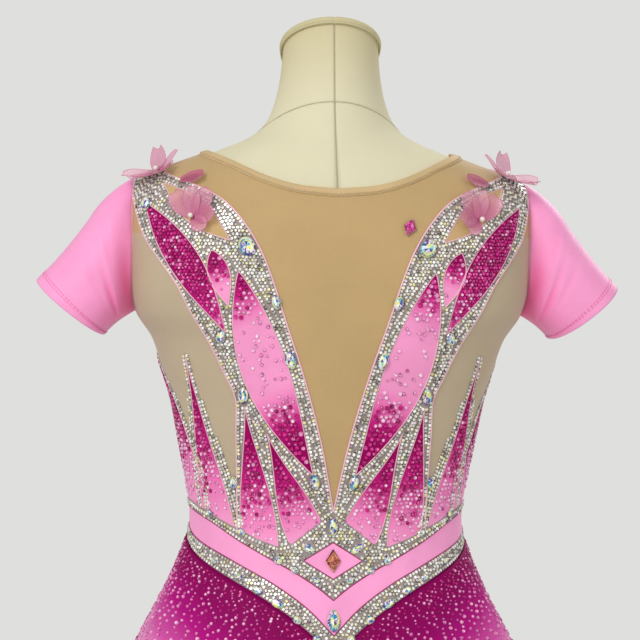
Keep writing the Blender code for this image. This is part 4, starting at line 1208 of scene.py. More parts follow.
def gore_points(t, s, grow=0.0):
    """The pointed gore on the side line: a leaf whose axis is the side line itself."""
    row = (0, SIDE_GORE_TIP + grow, 0, SIDE_GORE_FOOT - grow, SIDE_GORE_WIDTH + 2 * grow, 0, 0.5)
    flat = leaf(row, t, s)
    flat[..., 0] += side_length(flat[..., 1])
    return flat


def above_waist(points, rise=1.5):
    """Points kept above the waist yoke's upper edge, where the panel ends."""
    return np.stack([points[..., 0], np.maximum(points[..., 1], waist_rim(points) + rise)], axis=-1)


def make_sides():
    """The side panels: strips from the wings' edges and the waist to the armhole, with gore and spears."""
    border = np.vstack([wing_outer, side_waist[1:]])
    half = resampled(border, 140)
    whole = np.vstack([half, mirror_along(half)[-2::-1]])
    turn = np.linspace(WING_ARMHOLE_TURN, 2 * math.pi - WING_ARMHOLE_TURN, len(whole))
    arm = armhole_point(turn)
    gap = whole - arm
    size = np.linalg.norm(gap, axis=1, keepdims=True)
    whole = whole + gap / np.maximum(size, 1.0) * 1.2
    v = np.linspace(0, 1, 40)[:, None, None]
    points = whole * (1 - v) + arm * v
    seam_height = 544.0
    above = (points[..., 1] > seam_height).astype(float)
    for side, sign in (("right", 1), ("left", -1)):
        t, s = np.meshgrid(np.linspace(0, 1, 71), np.linspace(-1, 1, 31), indexing="ij")
        gore, _ = panel_piece(
            f"side_gore_{side}",
            "back",
            above_waist(gore_points(t, s)),
            sign,
            CELL_LEVEL - 0.2,
            ombre_cloth,
            {"ombre": gore_scheme(t)},
            thickness=0,
        )
        for face_name in ("back", "front"):
            flat, along = leaf_grid(SIDE_SPEAR, 70, 16)
            if face_name == "front":
                flat = mirror_along(flat.reshape(-1, 2)).reshape(flat.shape)
            spear, _ = panel_piece(
                f"side_spear_{face_name}_{side}",
                "back",
                above_waist(flat),
                sign,
                CELL_LEVEL,
                ombre_cloth,
                {"ombre": tip_scheme(along)},
                thickness=0,
            )
        tubes = []
        for flat in side_outlines():
            tubes.append(outline_tube("back", flat, sign, PIPING_LEVEL - 0.1, 0.5, False))
        piping = mesh_object(f"side_piping_{side}", *joined(tubes), piping_satin)
        made, grid = panel_piece(
            f"side_cloth_{side}", "back", points, sign, MESH_LEVEL, side_cloth, {"above_seam": above}, 0
        )
        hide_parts(f"side_panel_{side}")
        declare_cloth(grid)


def side_outlines():
    """The open outlines of the gore and the spears, from the tip down to the waist."""
    t, edge = np.linspace(0.02, 1, 90), np.ones(90)
    whole = [gore_points(t, side) for side in (edge, -edge)]
    whole += [leaf(SIDE_SPEAR, t, side) for side in (edge, -edge)]
    lines = [flat[flat[:, 1] > waist_rim(flat)] for flat in whole]
    return lines + [mirror_along(flat) for flat in lines[2:]]


def waist_rim(points):
    """Height of the waist yoke's upper edge below or above each point, on the back or the front."""
    share = points[..., 0] / side_length(points[..., 1])
    return share_reader(waist_top)(1 - np.abs(1 - share))


def shares_across(count, corners):
    """Even shares from one side line to the other, the nearest ones moved onto the corners' own shares."""
    shares = np.linspace(-1, 1, count)
    for corner in corners:
        for share in (-corner, corner):
            shares[np.abs(shares - share).argmin()] = share
    return shares


def between(upper, lower, shares, down):
    """A grid of (along, height) between two edges that are read by their share of the way round."""
    v = np.linspace(0, 1, down)[:, None]
    heights = upper(shares)[None] * (1 - v) + lower(shares)[None] * v
    return np.stack([shares[None] * side_length(heights), heights], axis=-1)


def diamond_grid(down=20, across=20):
    """The diamond: straight sides between four corners."""
    _, top, _, foot, width = DIAMOND
    u, v = np.meshgrid(np.linspace(0, 1, down), np.linspace(0, 1, across), indexing="ij")
    middle, half_height = (top + foot) / 2, (top - foot) / 2
    return np.stack([(u - v) * width / 2, middle + (1 - u - v) * half_height], axis=-1)


def diamond_loop(steps=12):
    _, top, _, foot, width = DIAMOND
    middle = (top + foot) / 2
    corners = np.array([(0, top), (width / 2, middle), (0, foot), (-width / 2, middle), (0, top)])
    return resampled(corners.astype(float), 4 * steps)[:-1]


def both_halves(edge):
    """An edge from the centre to the side line, with its mirrored half before it."""
    return np.vstack([(edge * (-1, 1))[:0:-1], edge])


def make_waist():
    """The pointed waist yokes, a diamond in the middle of each and dark piping along their bands."""
    corners = waist_top[:, 0] / side_length(waist_top[:, 1])
    shares = shares_across(181, corners[1:-1])
    upper, foot = share_reader(waist_top), share_reader(waist_foot)
    points = between(lambda share: upper(share) + 1.0, foot, shares, 28)
    bands = {
        "upper": between(lambda share: upper(share) + 1.0, share_reader(waist_band_foot), shares, 20),
        "lower": between(share_reader(waist_low_top), foot, shares, 10),
    }
    for face in ("back", "front"):
        shape = (face, diamond_grid(), 1, DIAMOND_LEVEL)
        diamond, _ = panel_piece(f"{face}_diamond", *shape, yoke_cloth, thickness=0)
        for name, band in bands.items():
            shape = (face, band, 1, BAND_LEVEL)
            ground, _ = panel_piece(f"{face}_waist_{name}", *shape, ground_cloth_and_shade, thickness=0)
        tubes = [
            outline_tube(face, both_halves(waist_band_foot), 1, PIPING_LEVEL, 0.45, False),
            outline_tube(face, both_halves(waist_low_top), 1, PIPING_LEVEL, 0.45, False),
            outline_tube(face, diamond_loop(), 1, PIPING_LEVEL, 0.45, True),
        ]
        piping = mesh_object(f"{face}_waist_piping", *joined(tubes), dark_piping)
        made, grid = panel_piece(f"{face}_waist_cloth", face, points, 1, WAIST_LEVEL, yoke_cloth)
        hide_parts(f"{face}_waist_yoke")
        declare_cloth(grid)


def binding_path():
    """The neckline's way all round, back and front, with the surface's normals."""
    quarter = resampled(neckline, 110)
    ahead = np.gradient(quarter, axis=0)
    upward = np.column_stack([-ahead[:, 1], ahead[:, 0]])
    upward /= np.linalg.norm(upward, axis=1, keepdims=True)
    level = quarter[-1, 1]
    side_way = np.array([side_length(level + 1) - side_length(level - 1), 2.0])
    turned = np.clip(np.linspace(-1.5, 1.0, len(quarter)), 0, 1)[:, None]
    upward = upward * (1 - turned) + side_way / np.linalg.norm(side_way) * turned
    upward /= np.linalg.norm(upward, axis=1, keepdims=True)
    rise = np.linspace(1.0, 0.9, len(quarter))[:, None]
    return quarter, upward, rise


def beside_neckline(share):
    """A line beside the neckline, at a share of the binding's width above it."""
    quarter, upward, rise = binding_path()
    line = quarter + upward * (BINDING_WIDTH * share + 0.15) * rise
    line[:, 0] = np.minimum(line[:, 0], side_length(line[:, 1]))
    line[-1, 0] = side_length(line[-1, 1])
    return line


def round_the_neck(line, out):
    """A line above the neckline carried round back and front. Returns closed rings of places and normals."""
    levels = np.full(len(line), out)
    back, back_normal = place("back", line, levels)
    front, front_normal = place("front", line, levels)
    half, half_normal = np.vstack([back, front[-2::-1]]), np.vstack([back_normal, front_normal[-2::-1]])
    mirror = (-1, 1, 1)
    left, left_normal = (half * mirror)[-2:0:-1], (half_normal * mirror)[-2:0:-1]
    return np.vstack([half, left]), np.vstack([half_normal, left_normal])


def make_neck_binding():
    """The binding: a rounded flat section carried round the neck, with a zigzag of thread along its foot."""
    rings = [round_the_neck(beside_neckline(share), out)[0] for share, out in BINDING_SECTION]
    rings.append(rings[0])
    grid = np.array(rings)
    middle = grid[:-1].mean(axis=0)
    made = grid_piece("neck_band", grid, grid - middle, binding_cloth, closed=True)
    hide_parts("neck_binding")
    centres, directions, normals = [], [], []
    for lean in (1, -1):
        ring, normal = round_the_neck(beside_neckline(0.12), 3.15)
        ring = np.vstack([ring, ring[:1]])
        run = run_of(ring)
        at = np.arange(0.0, run[-1], 3.2) + (0.0 if lean > 0 else 1.6)
        spot = np.column_stack([np.interp(at, run, ring[:, axis]) for axis in range(3)])
        ahead = np.column_stack([np.interp(at + 0.5, run, ring[:, axis]) for axis in range(3)]) - spot
        ahead /= np.maximum(np.linalg.norm(ahead, axis=1, keepdims=True), 1e-9)
        normal = np.vstack([normal, normal[:1]])
        out = np.column_stack([np.interp(at, run, normal[:, axis]) for axis in range(3)])
        out /= np.linalg.norm(out, axis=1, keepdims=True)
        side = np.cross(ahead, out)
        slanted = ahead * 0.75 + side * 0.7 * lean
        centres.append(spot)
        directions.append(slanted / np.linalg.norm(slanted, axis=1, keepdims=True))
        normals.append(out)
    spindles = stitches(np.vstack(centres), np.vstack(directions), np.vstack(normals), 2.5, 0.45)
    sewing = mesh_object("neck_stitches", *spindles, thread)


# Skirt and brief


def skirt_surface(face, share, part, level):
    """The skirt at a share of the way from the centre to the side line, and a part of the way down to the
    hem. It flares by a steady share of its fall. Cosine waves and softer folds grow downward."""
    top = share_reader(waist_foot)(share) - SKIRT_SEAM_GAP
    height = top + (SKIRT_HEM - top) * part
    fall = top - height
    held = np.maximum(height, SKIRT_HIP)
    ways = np.stack([share * side_length(held), held], axis=-1)
    body, normal = place(face, ways, np.zeros(share.shape))
    normal = normal * (1, 1, 0)
    normal /= np.linalg.norm(normal, axis=-1, keepdims=True)
    wave = SKIRT_WAVE * fall * np.cos(math.pi * SKIRT_WAVES * np.abs(share))
    fold = 0.012 * fall * np.sin(9.0 * np.abs(share) + 0.6) * np.cos(23.0 * share + 0.4)
    points = body + normal * (level + SKIRT_FLARE * fall + wave + fold)[..., None]
    points[..., 2] = height
    return points, normal, fall


def skirt_ombre(fall, share):
    """Colour share of the skirt: deep at the yoke and pale towards the hem, quicker at the sides."""
    return np.clip(fall * (0.0034 + 0.0104 * np.abs(share) ** 1.35), 0.0, 1.0)


def make_skirt():
    share, part = np.meshgrid(np.linspace(-1, 1, 201), np.linspace(0, 1, 44), indexing="xy")
    for face in ("back", "front"):
        points, normal, fall = skirt_surface(face, share, part, SKIRT_LEVEL)
        values = {"ombre": skirt_ombre(fall, share)}
        made = grid_piece(f"{face}_skirt_cloth", points, normal, skirt_cloth, values=values)
        thicken(made)
        edge_share, edge_part = np.linspace(-1, 1, 281), np.full(281, 0.995)
        hem_line, hem_normal, _ = skirt_surface(face, edge_share, edge_part, SKIRT_LEVEL - 0.4)
        hem = mesh_object(f"{face}_skirt_hem", *tube(hem_line, hem_normal, 0.9), skirt_hem_cloth)
        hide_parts(f"{face}_skirt")
        declare_cloth(points)


def make_brief():
    """The brief, from the yoke's foot to the leg line, its elastic edge, and the gusset between the legs."""
    shares = np.linspace(-1, 1, 101)
    foot = share_reader(waist_foot)
    profile_heights = np.linspace(LEG_LINE_FOOT, BODY_ROWS[0][0], 25)
    for face in ("back", "front"):
        half = (np.clip(np.abs(shares) - 0.13, 0, None) / 0.87) ** LEG_LINE_POWER[face]
        leg = LEG_LINE_FOOT + (LEG_LINE_SIDE - LEG_LINE_FOOT) * half
        points = between(foot, lambda share, leg=leg: leg, shares, 32)
        made, grid = panel_piece(f"{face}_brief_cloth", face, points, 1, BRIEF_LEVEL, brief_cloth)
        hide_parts(f"{face}_brief")
        edge_points, edge_normals = place(face, points[-1], np.full(len(shares), BRIEF_LEVEL - 0.2))
        elastic = mesh_object(f"{face}_leg_elastic", *tube(edge_points, edge_normals, 0.9), brief_cloth)
        declare_cloth(grid)
    sizes = body_sizes(profile_heights)
    profile = np.vstack(
        [np.column_stack([-sizes[1], profile_heights]), np.column_stack([sizes[2], profile_heights])[::-1]]
    )
    profile = resampled(profile, 70)
    ahead = np.gradient(profile, axis=0)
    outward = np.column_stack([ahead[:, 1], -ahead[:, 0]])
    outward /= np.linalg.norm(outward, axis=1, keepdims=True)
    x = np.linspace(-GUSSET_HALF_WIDTH, GUSSET_HALF_WIDTH, 25)
    line = profile + outward * BRIEF_LEVEL
    points = np.zeros((len(line), len(x), 3))
    points[..., 0] = x
    points[..., 1:] = line[:, None]
    normal = np.zeros(points.shape)
    normal[..., 1:] = outward[:, None]
    made = grid_piece("gusset_cloth", points, normal, brief_cloth)
    thicken(made)
    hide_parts("gusset")
    declare_cloth(points)


# Sleeves

sleeve_sizes = smooth_table(SLEEVE_ROWS)


def sleeve_surface(way, turn, level):
    """The sleeve: the armhole's own curve turns into ovals across the sleeve, with creases as soft troughs.
    Way runs from the armhole to the cuff, and turn from the top to the back. Returns places and depths."""
    start, _ = place("back", armhole_point(turn, 0.3), np.full(turn.shape, level))
    cosine, sine = np.cos(turn), np.sin(turn)
    power = 2 / SLEEVE_SQUARENESS
    upright = np.sign(cosine) * np.abs(cosine) ** power
    across = np.sign(sine) * np.abs(sine) ** power
    top_x, top_z, under_x, under_z, half_depth = sleeve_sizes(way)
    rise, reach = top_z - under_z, top_x - under_x
    size = np.hypot(rise, reach)
    bulge = SLEEVE_CUFF_BULGE * way**3 * np.abs(sine)
    dent = np.zeros(way.shape)
    for place_way, way_spread, place_turn, turn_spread, depth in SLEEVE_CREASES:
        away = (np.degrees(turn) - place_turn + 180) % 360 - 180
        dent += depth * np.exp(-(((way - place_way) / way_spread) ** 2) - (away / turn_spread) ** 2)
    inward = np.where(sine > 0, 1.0, -1.0) * dent
    grow = level - 1.0
    x = (top_x + under_x) / 2 + (reach / 2 + grow * reach / size) * upright + bulge * rise / size
    z = (top_z + under_z) / 2 + (rise / 2 + grow * rise / size) * upright - bulge * reach / size
    y = SLEEVE_CENTRE_Y - (half_depth + grow) * across + inward
    blend = np.clip(way / SLEEVE_BLEND, 0, 1)
    blend = (blend * blend * (3 - 2 * blend))[..., None]
    return start * (1 - blend) + np.stack([x, y, z], axis=-1) * blend, dent * blend[..., 0]


def make_sleeves():
    steps_round = 112
    ways = np.concatenate([np.linspace(0, 0.93, 44), np.linspace(0.935, 1.0, 8)])
    way, turn = np.meshgrid(ways, np.arange(steps_round) * 2 * math.pi / steps_round, indexing="ij")
    outer, dent = sleeve_surface(way, turn, SLEEVE_LEVEL)
    middle = outer.mean(axis=1, keepdims=True)
    around = np.roll(outer, -1, axis=1) - np.roll(outer, 1, axis=1)
    normal = np.cross(around, np.gradient(outer, axis=0))
    normal /= np.linalg.norm(normal, axis=2, keepdims=True)
    if ((outer - middle) * normal).sum() < 0:
        normal = -normal
    length = run_of(outer[:, 0])
    from_cuff = length[-1] - length
    hem = np.where(from_cuff < SLEEVE_HEM, 0.45, 0.0) * np.clip(from_cuff / 0.6, 0.4, 1)
    seam_pull = 0.5 * np.exp(-(((from_cuff - SLEEVE_HEM) / 1.2) ** 2))
    outer = outer + normal * (hem - seam_pull)[:, None, None]
    # Painted shade: the mask is strongest in the creases' dents and on the sleeve's underside near the
    # armhole
    under = np.clip(-np.cos(turn) - 0.1, 0, 1) * np.clip(1.1 - way, 0, 1)
    painted_crease_shade = np.clip(np.clip(dent / 6.5, 0, 1) ** 1.2 * 0.9 + 0.7 * under, 0, 1)
    for side, sign in (("right", 1), ("left", -1)):
        mirror = (sign, 1, 1)
        made = grid_piece(
            f"sleeve_{side}_cloth",
            outer * mirror,
            normal * mirror,
            pink_cloth,
            closed=True,
            values={"painted_crease_shade": painted_crease_shade},
        )
        thicken(made, 1.0)
        rows = []
        for distance in (SLEEVE_HEM - 1.0, SLEEVE_HEM + 1.4):
            ring_way = np.full(72, np.interp(distance, from_cuff[::-1], ways[::-1]))
            ring_turn = np.arange(72) * 2 * math.pi / 72
            spot, _ = sleeve_surface(ring_way, ring_turn, SLEEVE_LEVEL + 0.45)
            ahead = np.roll(spot, -1, axis=0) - np.roll(spot, 1, axis=0)
            ahead /= np.linalg.norm(ahead, axis=1, keepdims=True)
            out = spot - spot.mean(axis=0)
            out /= np.linalg.norm(out, axis=1, keepdims=True)
            out -= ahead * (out * ahead).sum(axis=1, keepdims=True)
            out /= np.linalg.norm(out, axis=1, keepdims=True)
            rows.append((spot * mirror, ahead * mirror, out * mirror))
        centres, directions, outs = (np.vstack(part) for part in zip(*rows))
        spindles = stitches(centres, directions, outs, 2.4, 0.25)
        sewing = mesh_object(f"sleeve_{side}_stitches", *spindles, pink_thread)
        seam_turn = np.arange(96) * 2 * math.pi / 96
        seam_line, _ = sleeve_surface(np.full(96, 0.012), seam_turn, SLEEVE_LEVEL + 0.1)
        seam_out, _ = place("back", armhole_point(seam_turn, 0.3), np.full(96, 6.0))
        seam_out = seam_out - seam_line
        seam_out /= np.linalg.norm(seam_out, axis=1, keepdims=True)
        cord = tube(seam_line * mirror, seam_out * mirror, 0.6, closed=True)
        seam = mesh_object(f"sleeve_{side}_seam", *cord, piping_satin)
        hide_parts(f"sleeve_{side}")
        closed_grid = np.concatenate([outer, outer[:, :1]], axis=1)
        declare_cloth(closed_grid)


# Flowers, pearls and set stones


def seat_frame(face, along, height, out, sign):
    """A seat on a panel: its middle, and unit directions across, up the panel and outward."""
    spot = np.array([[along, height]], float)
    centre, normal = place(face, spot, np.array([out]))
    above, _ = place(face, spot + (0, 0.5), np.array([out]))
    outward = normal[0] * (sign, 1, 1)
    across = np.cross((above[0] - centre[0]) * (sign, 1, 1), outward)
    across /= np.linalg.norm(across)
    return centre[0] * (sign, 1, 1), np.stack([across, np.cross(outward, across), outward])


def petal_grid(row, sign):
    """A petal in its flower's own frame: u runs along it and v across it. The half width is a sine of a
    skewed u, the petal rises as a power of u, its sides cup upward, and its rim ripples."""
    turn, gap, length, width, rise, shade = row
    u, v = np.meshgrid(np.linspace(0.04, 1, PETAL_DOWN), np.linspace(-1, 1, PETAL_ACROSS), indexing="ij")
    half = width / 2 * np.sin(math.pi * (0.05 + 0.88 * u) ** 1.25) ** 0.6
    ripple = 0.7 * u**2 * np.abs(v) * np.sin(9 * u + 3 * v + turn)
    lift = rise * u**1.6 + 0.16 * width * v**2 * u + ripple
    along, across = gap + u * length, half * v
    angle = math.radians(turn) if sign > 0 else math.pi - math.radians(turn)
    x = along * math.cos(angle) - across * math.sin(angle)
    y = along * math.sin(angle) + across * math.cos(angle)
    tone = np.clip(0.1 + shade * 0.3 + (0.15 + 0.6 * shade) * u**0.7 + 0.1 * np.abs(v), 0, 1)
    return np.stack([x, y, lift], axis=-1), tone, v


def unit_ball():
    """Places on a ball of radius 1, in rings from its top down."""
    theta, phi = np.meshgrid(np.linspace(0, math.pi, 19), np.arange(28) * 2 * math.pi / 28, indexing="ij")
    return np.stack([np.sin(theta) * np.cos(phi), np.sin(theta) * np.sin(phi), np.cos(theta)], axis=-1)


def make_flowers():
    """Each flower is one piece of organza petals, with a thread along each rim and a pearl in its middle."""
    for side, sign in (("right", 1), ("left", -1)):
        for name, along, height, seat, pearl in FLOWER_ROWS:
            centre, axes = seat_frame("back", along, height, 2.65 + seat, sign)
            parts, tones, across, rims = [], [], [], []
            seats = [(row, centre, axes) for row in PETALS[name]]
            if name == "upper":
                seats.append((BUD_PETAL, *seat_frame("back", *BUD_SEAT, 4.2, sign)))
            for row, middle, frame_axes in seats:
                grid, tone, v = petal_grid(row, sign)
                placed = middle + grid @ frame_axes
                upward = np.broadcast_to(frame_axes[2], placed.shape)
                quads = turned_out(grid_quads(*grid.shape[:2], False), placed, upward)
                parts.append((placed.reshape(-1, 3), quads))
                tones.append(tone.ravel())
                across.append(v.ravel())
                rim = np.vstack([placed[:, 0], placed[-1, 1:-1], placed[::-1, -1]])
                rims.append(tube(rim, np.broadcast_to(frame_axes[2], rim.shape), 0.22, sides=5))
            petals = mesh_object(f"petals_{name}_{side}", *joined(parts), organza)
            add_values(petals, "shade", np.concatenate(tones))
            add_values(petals, "across", np.concatenate(across))
            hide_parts(f"flower_{name}_{side}")
            edge = mesh_object(f"petal_rims_{name}_{side}", *joined(rims), rim_thread)
            middle = centre + axes[2] * (1.3 + pearl)
            ball = unit_ball() @ axes
            bead = grid_piece(f"bead_{name}_{side}", middle + pearl * ball, ball, pearl_shell, closed=True)
            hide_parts(f"pearl_{name}_{side}")


def pointed_oval(length, width, sides=20):
    """A pointed oval's outline: the sine and cosine of an oval, its width drawn in towards both ends."""
    angle = np.arange(sides) * 2 * math.pi / sides
    drawn_in = np.abs(np.sin(angle)) ** 0.18
    return np.column_stack([width / 2 * np.sin(angle) * drawn_in, length / 2 * np.cos(angle)])


def round_oval(length, width, sides=20):
    angle = np.arange(sides) * 2 * math.pi / sides
    return np.column_stack([width / 2 * np.sin(angle), length / 2 * np.cos(angle)])


def rhombus(length, width, sides=20):
    """Straight sides between four corners that are cut a little blunt."""
    corners = np.array([(0, length / 2), (width / 2, 0), (0, -length / 2), (-width / 2, 0), (0, length / 2)])
    return resampled(corners, sides)[:-1] * 0.98


def drop(length, width, sides=20):
    """A drop: round at the foot and drawn to a point at the top."""
    angle = np.arange(sides) * 2 * math.pi / sides
    narrow = 1 - 0.45 * np.clip(np.cos(angle), 0, 1) ** 1.5
    return np.column_stack([width / 2 * np.sin(angle) * narrow, length / 2 * np.cos(angle)])


# Colours of a stone's facets, in the order that they come round it, here and for the amber and magenta
#  stones below: each glass's tint mixed with painted reflection, its near-white tones painted glints
#  and its darkest ones painted shade
AB_TONES = np.array(
    [
        srgb(252, 252, 246),
        srgb(236, 240, 150),
        srgb(250, 236, 90),
        srgb(206, 226, 170),
        srgb(120, 206, 216),
        srgb(44, 150, 205),
        srgb(40, 60, 150),
        srgb(120, 80, 160),
        srgb(214, 190, 214),
        srgb(250, 250, 250),
        srgb(84, 74, 110),
        srgb(226, 236, 232),
    ]
)
AMBER_TONES = np.array(
    [
        srgb(228, 170, 112),
        srgb(186, 92, 62),
        srgb(134, 44, 40),
        srgb(92, 20, 30),
        srgb(168, 74, 66),
        srgb(214, 138, 100),
    ]
)
MAGENTA_TONES = np.array(
    [
        srgb(235, 140, 200),
        srgb(200, 30, 130),
        srgb(120, 0, 76),
        srgb(150, 0, 96),
        srgb(222, 80, 165),
        srgb(176, 10, 112),
    ]
)


def faceted(outline, rise, turn, tones, random):
    """A cut stone: a base, a girdle, two crown rings, the first of them turned by half a step, and facets
    round the table's middle. Returns points, faces and face colours, which run through the tones."""
    count = len(outline)
    lean = math.radians(turn)
    spin = np.array([[math.cos(lean), -math.sin(lean)], [math.sin(lean), math.cos(lean)]])
    half_step = (outline + np.roll(outline, -1, axis=0)) / 2
    rings = []
    base, girdle = (outline, 0.94, 0.0), (outline, 1.0, 0.3)
    crown, table = (half_step, 0.78, 0.7), (outline, 0.5, 0.98)
    for shape, scale, lift in (base, girdle, crown, table):
        rings.append(np.column_stack([shape @ spin * scale, np.full(count, lift * rise)]))
    points = np.vstack([*rings, [[0.0, 0.0, rise]]])
    here = np.arange(count)
    after = np.roll(here, -1)
    low, high, top, middle = count, 2 * count, 3 * count, 4 * count
    faces = np.stack([here, after, after + count, here + count], axis=1).tolist()
    faces += np.stack([low + here, low + after, high + here], axis=1).tolist()
    faces += np.stack([low + after, high + after, high + here], axis=1).tolist()
    faces += np.stack([high + here, high + after, top + after], axis=1).tolist()
    faces += np.stack([high + here, top + after, top + here], axis=1).tolist()
    faces += np.stack([top + here, top + after, np.full(count, middle)], axis=1).tolist()
    order = here / count * len(tones)
    rows = [order + start for start in random.uniform(0, len(tones), 5)]
    rows.append(order // 2 * 2 + random.uniform(0, len(tones)))
    numbers = np.concatenate([row + random.uniform(-1, 1, count) for row in rows]).astype(int) % len(tones)
    # Painted shade: the base and girdle facets darkened and the crown and table facets brightened
    shade = np.repeat([0.45, 0.8, 0.9, 1.0, 1.0, 1.05], count)
    return points, faces, tones[numbers] * shade[:, None]


def paint_faces(made, colours):
    """One colour for each face, kept on its corners, for the cut-glass materials to read."""
    layer = made.data.color_attributes.new("facet", "FLOAT_COLOR", "CORNER")
    counts = np.zeros(len(made.data.polygons), np.int32)
    made.data.polygons.foreach_get("loop_total", counts)
    every = np.repeat(np.column_stack([colours, np.ones(len(colours))]), counts, axis=0)
    layer.data.foreach_set("color", every.astype(np.float32).ravel())


def cut_stone(name, outline, face, spot, turn, rise, sign, out, tones, random):
    """A set stone on a panel at (along, height), on the right or mirrored to the left."""
    points, faces, colours = faceted(outline, rise, turn, tones, random)
    centre, axes = seat_frame(face, *spot, out, sign)
    made = mesh_object(name, centre + (points * (sign, 1, 1)) @ axes, faces, stone_glass, smooth=False)
    if sign < 0:
        made.data.flip_normals()
    paint_faces(made, colours)
    return made


def make_stones():
    random = np.random.default_rng(SEED)
    for name, along, height, length, width, turn, rise in STONE_PAIRS:
        outline = (round_oval if name == "stone_oval" else pointed_oval)(length, width)
        for side, sign in (("right", 1), ("left", -1)):
            node = f"{name}_{side}"
            seat = ("back", (along, height), turn, rise, sign, STONE_LEVEL)
            stone = cut_stone(f"{node}_cut", outline, *seat, AB_TONES, random)
            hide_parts(node)
    singles = (
        (STONE_CENTRE, pointed_oval, STONE_LEVEL, AB_TONES, "stone"),
        (STONE_DIAMOND, rhombus, 2.65, AMBER_TONES, "amber"),
        (STONE_DROP, drop, 2.65, AB_TONES, "stone"),
        (STONE_YOKE, rhombus, 2.65, MAGENTA_TONES, "stone"),
    )
    for (name, along, height, length, width, turn, rise), shape, out, tones, slot_name in singles:
        seat = ("back", (along, height), turn, rise, 1, out)
        stone = cut_stone(f"{name}_cut", shape(length, width), *seat, tones, random)
        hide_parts(name)
    along, height, length, width, turn, rise = STONE_LEFT
    seat = ("back", (along, height), turn, rise, -1, STONE_LEVEL)
    extra = cut_stone("left_stone", round_oval(length, width), *seat, AB_TONES, random)
    for number, (along, height, length, width, turn) in enumerate(WAIST_STONES):
        outline = pointed_oval(length, width, 12) if length > 9 else round_oval(length, width, 12)
        for face in ("back", "front"):
            for side, sign in (("right", 1), ("left", -1)):
                name = f"{face}_waist_stone_{side}_{number}"
                seat = (face, (along, height), turn, 2.4, sign, WAIST_LEVEL + 0.1)
                stone = cut_stone(name, outline, *seat, AB_TONES, random)


# Small crystals


def net_points(loop, pitch, random, jitter=0.22):
    """An even triangular net over a loop's box, each point moved a little."""
    low, high = loop.min(axis=0), loop.max(axis=0)
    rise = pitch * math.sqrt(3) / 2
    heights = np.arange(low[1], high[1] + rise, rise)
    ways = np.arange(low[0], high[0] + pitch, pitch)
    along, height = np.meshgrid(ways, heights)
    along = along + (np.arange(len(heights)) % 2)[:, None] * pitch / 2
    net = np.column_stack([along.ravel(), height.ravel()])
    return net + random.uniform(-jitter, jitter, net.shape) * pitch / 2


LONG_FROM = 565.0
LONG_FULL = 590.0
LONG_RATE = 1.8
LONG_TABLE_HEIGHTS = np.linspace(0.0, 640.0, 1281)
LONG_TABLE = np.cumsum(np.interp(LONG_TABLE_HEIGHTS, (LONG_FROM, LONG_FULL), (1.0, LONG_RATE))) * 0.5


def stretched(points):
    """Heights turned into lengths over the cloth, which runs flatter near the shoulder."""
    return np.stack([points[..., 0], np.interp(points[..., 1], LONG_TABLE_HEIGHTS, LONG_TABLE)], axis=-1)


def unstretched(points):
    return np.stack([points[..., 0], np.interp(points[..., 1], LONG_TABLE, LONG_TABLE_HEIGHTS)], axis=-1)


def row_points(loop, inset, pitch):
    """Even points on a closed loop moved in by a distance, in stretched places."""
    whole = np.vstack([loop, loop[:1]])
    ring = moved_in(resampled(whole, max(24, int(run_of(whole)[-1] / 2)))[:-1], inset)
    ring = np.vstack([ring, ring[:1]])
    return resampled(ring, max(6, int(round(run_of(ring)[-1] / pitch))))[:-1]


def apart(points, others, distance):
    """Which points lie at least a distance from every one of the others."""
    if not len(others) or not len(points):
        return np.ones(len(points), bool)
    keep = np.empty(len(points), bool)
    for start in range(0, len(points), 500):
        some = points[start : start + 500]
        squared = ((some[:, None] - others[None]) ** 2).sum(axis=2)
        keep[start : start + 500] = squared.min(axis=1) > distance**2
    return keep


def thinned(points, distance):
    """The points in order, without those nearer than a distance to one kept before, and their numbers."""
    kept, numbers = np.empty((0, points.shape[1])), []
    for start in range(0, len(points), 100):
        some = start + np.arange(min(100, len(points) - start))
        some = some[apart(points[some], kept, distance)]
        near = ((points[some][:, None] - points[some][None]) ** 2).sum(axis=2) < distance**2
        chosen = []
        for number in range(len(some)):
            if not near[number, chosen].any():
                chosen.append(number)
        kept = np.vstack([kept, points[some[chosen]]])
        numbers += some[chosen].tolist()
    return kept, np.array(numbers, int)


def band_stones(face, outer, holes, random, stones=(), pitch=CRYSTAL_PITCH, margin=EDGE_MARGIN):
    """Crystals in a band: rows just inside its outline and just outside its holes, a net between the rows,
    and a finer net in the gaps that are left. Stones are (along, height, reach) of larger ones."""
    outer = stretched(outer)
    holes = [stretched(hole) for hole in holes]
    rows = [row_points(outer, margin, pitch)] + [row_points(hole, -margin, pitch) for hole in holes]
    rows = np.vstack(rows)
    net = np.vstack([net_points(outer, pitch * 0.98, random, 0.12), net_points(outer, pitch * 0.45, random)])

    def inside(points, gap):
        keep = depth_inside(points, outer) > gap
        for hole in holes:
            keep[keep] = depth_inside(points[keep], hole) < -gap
        return points[keep]

    rows = inside(rows, margin * 0.6)
    net = inside(net, margin * 0.9)
    found = unstretched(np.vstack([rows, net]))
    spots, _ = place(face, found, np.zeros(len(found)))
    _, kept = thinned(spots, pitch * 0.87)
    found, spots = found[kept], spots[kept]
    for along, height, reach in stones:
        seat, _ = place(face, np.array([[along, height]], float), np.zeros(1))
        clear_of = np.linalg.norm(spots - seat, axis=1) > reach
        found, spots = found[clear_of], spots[clear_of]
    return found


# Pitch and radius of the stones in each kind of cell
CELL_STONES = {"deep": (3.2, 1.6), "both": (4.4, 2.0), "tip": (4.0, 1.8)}

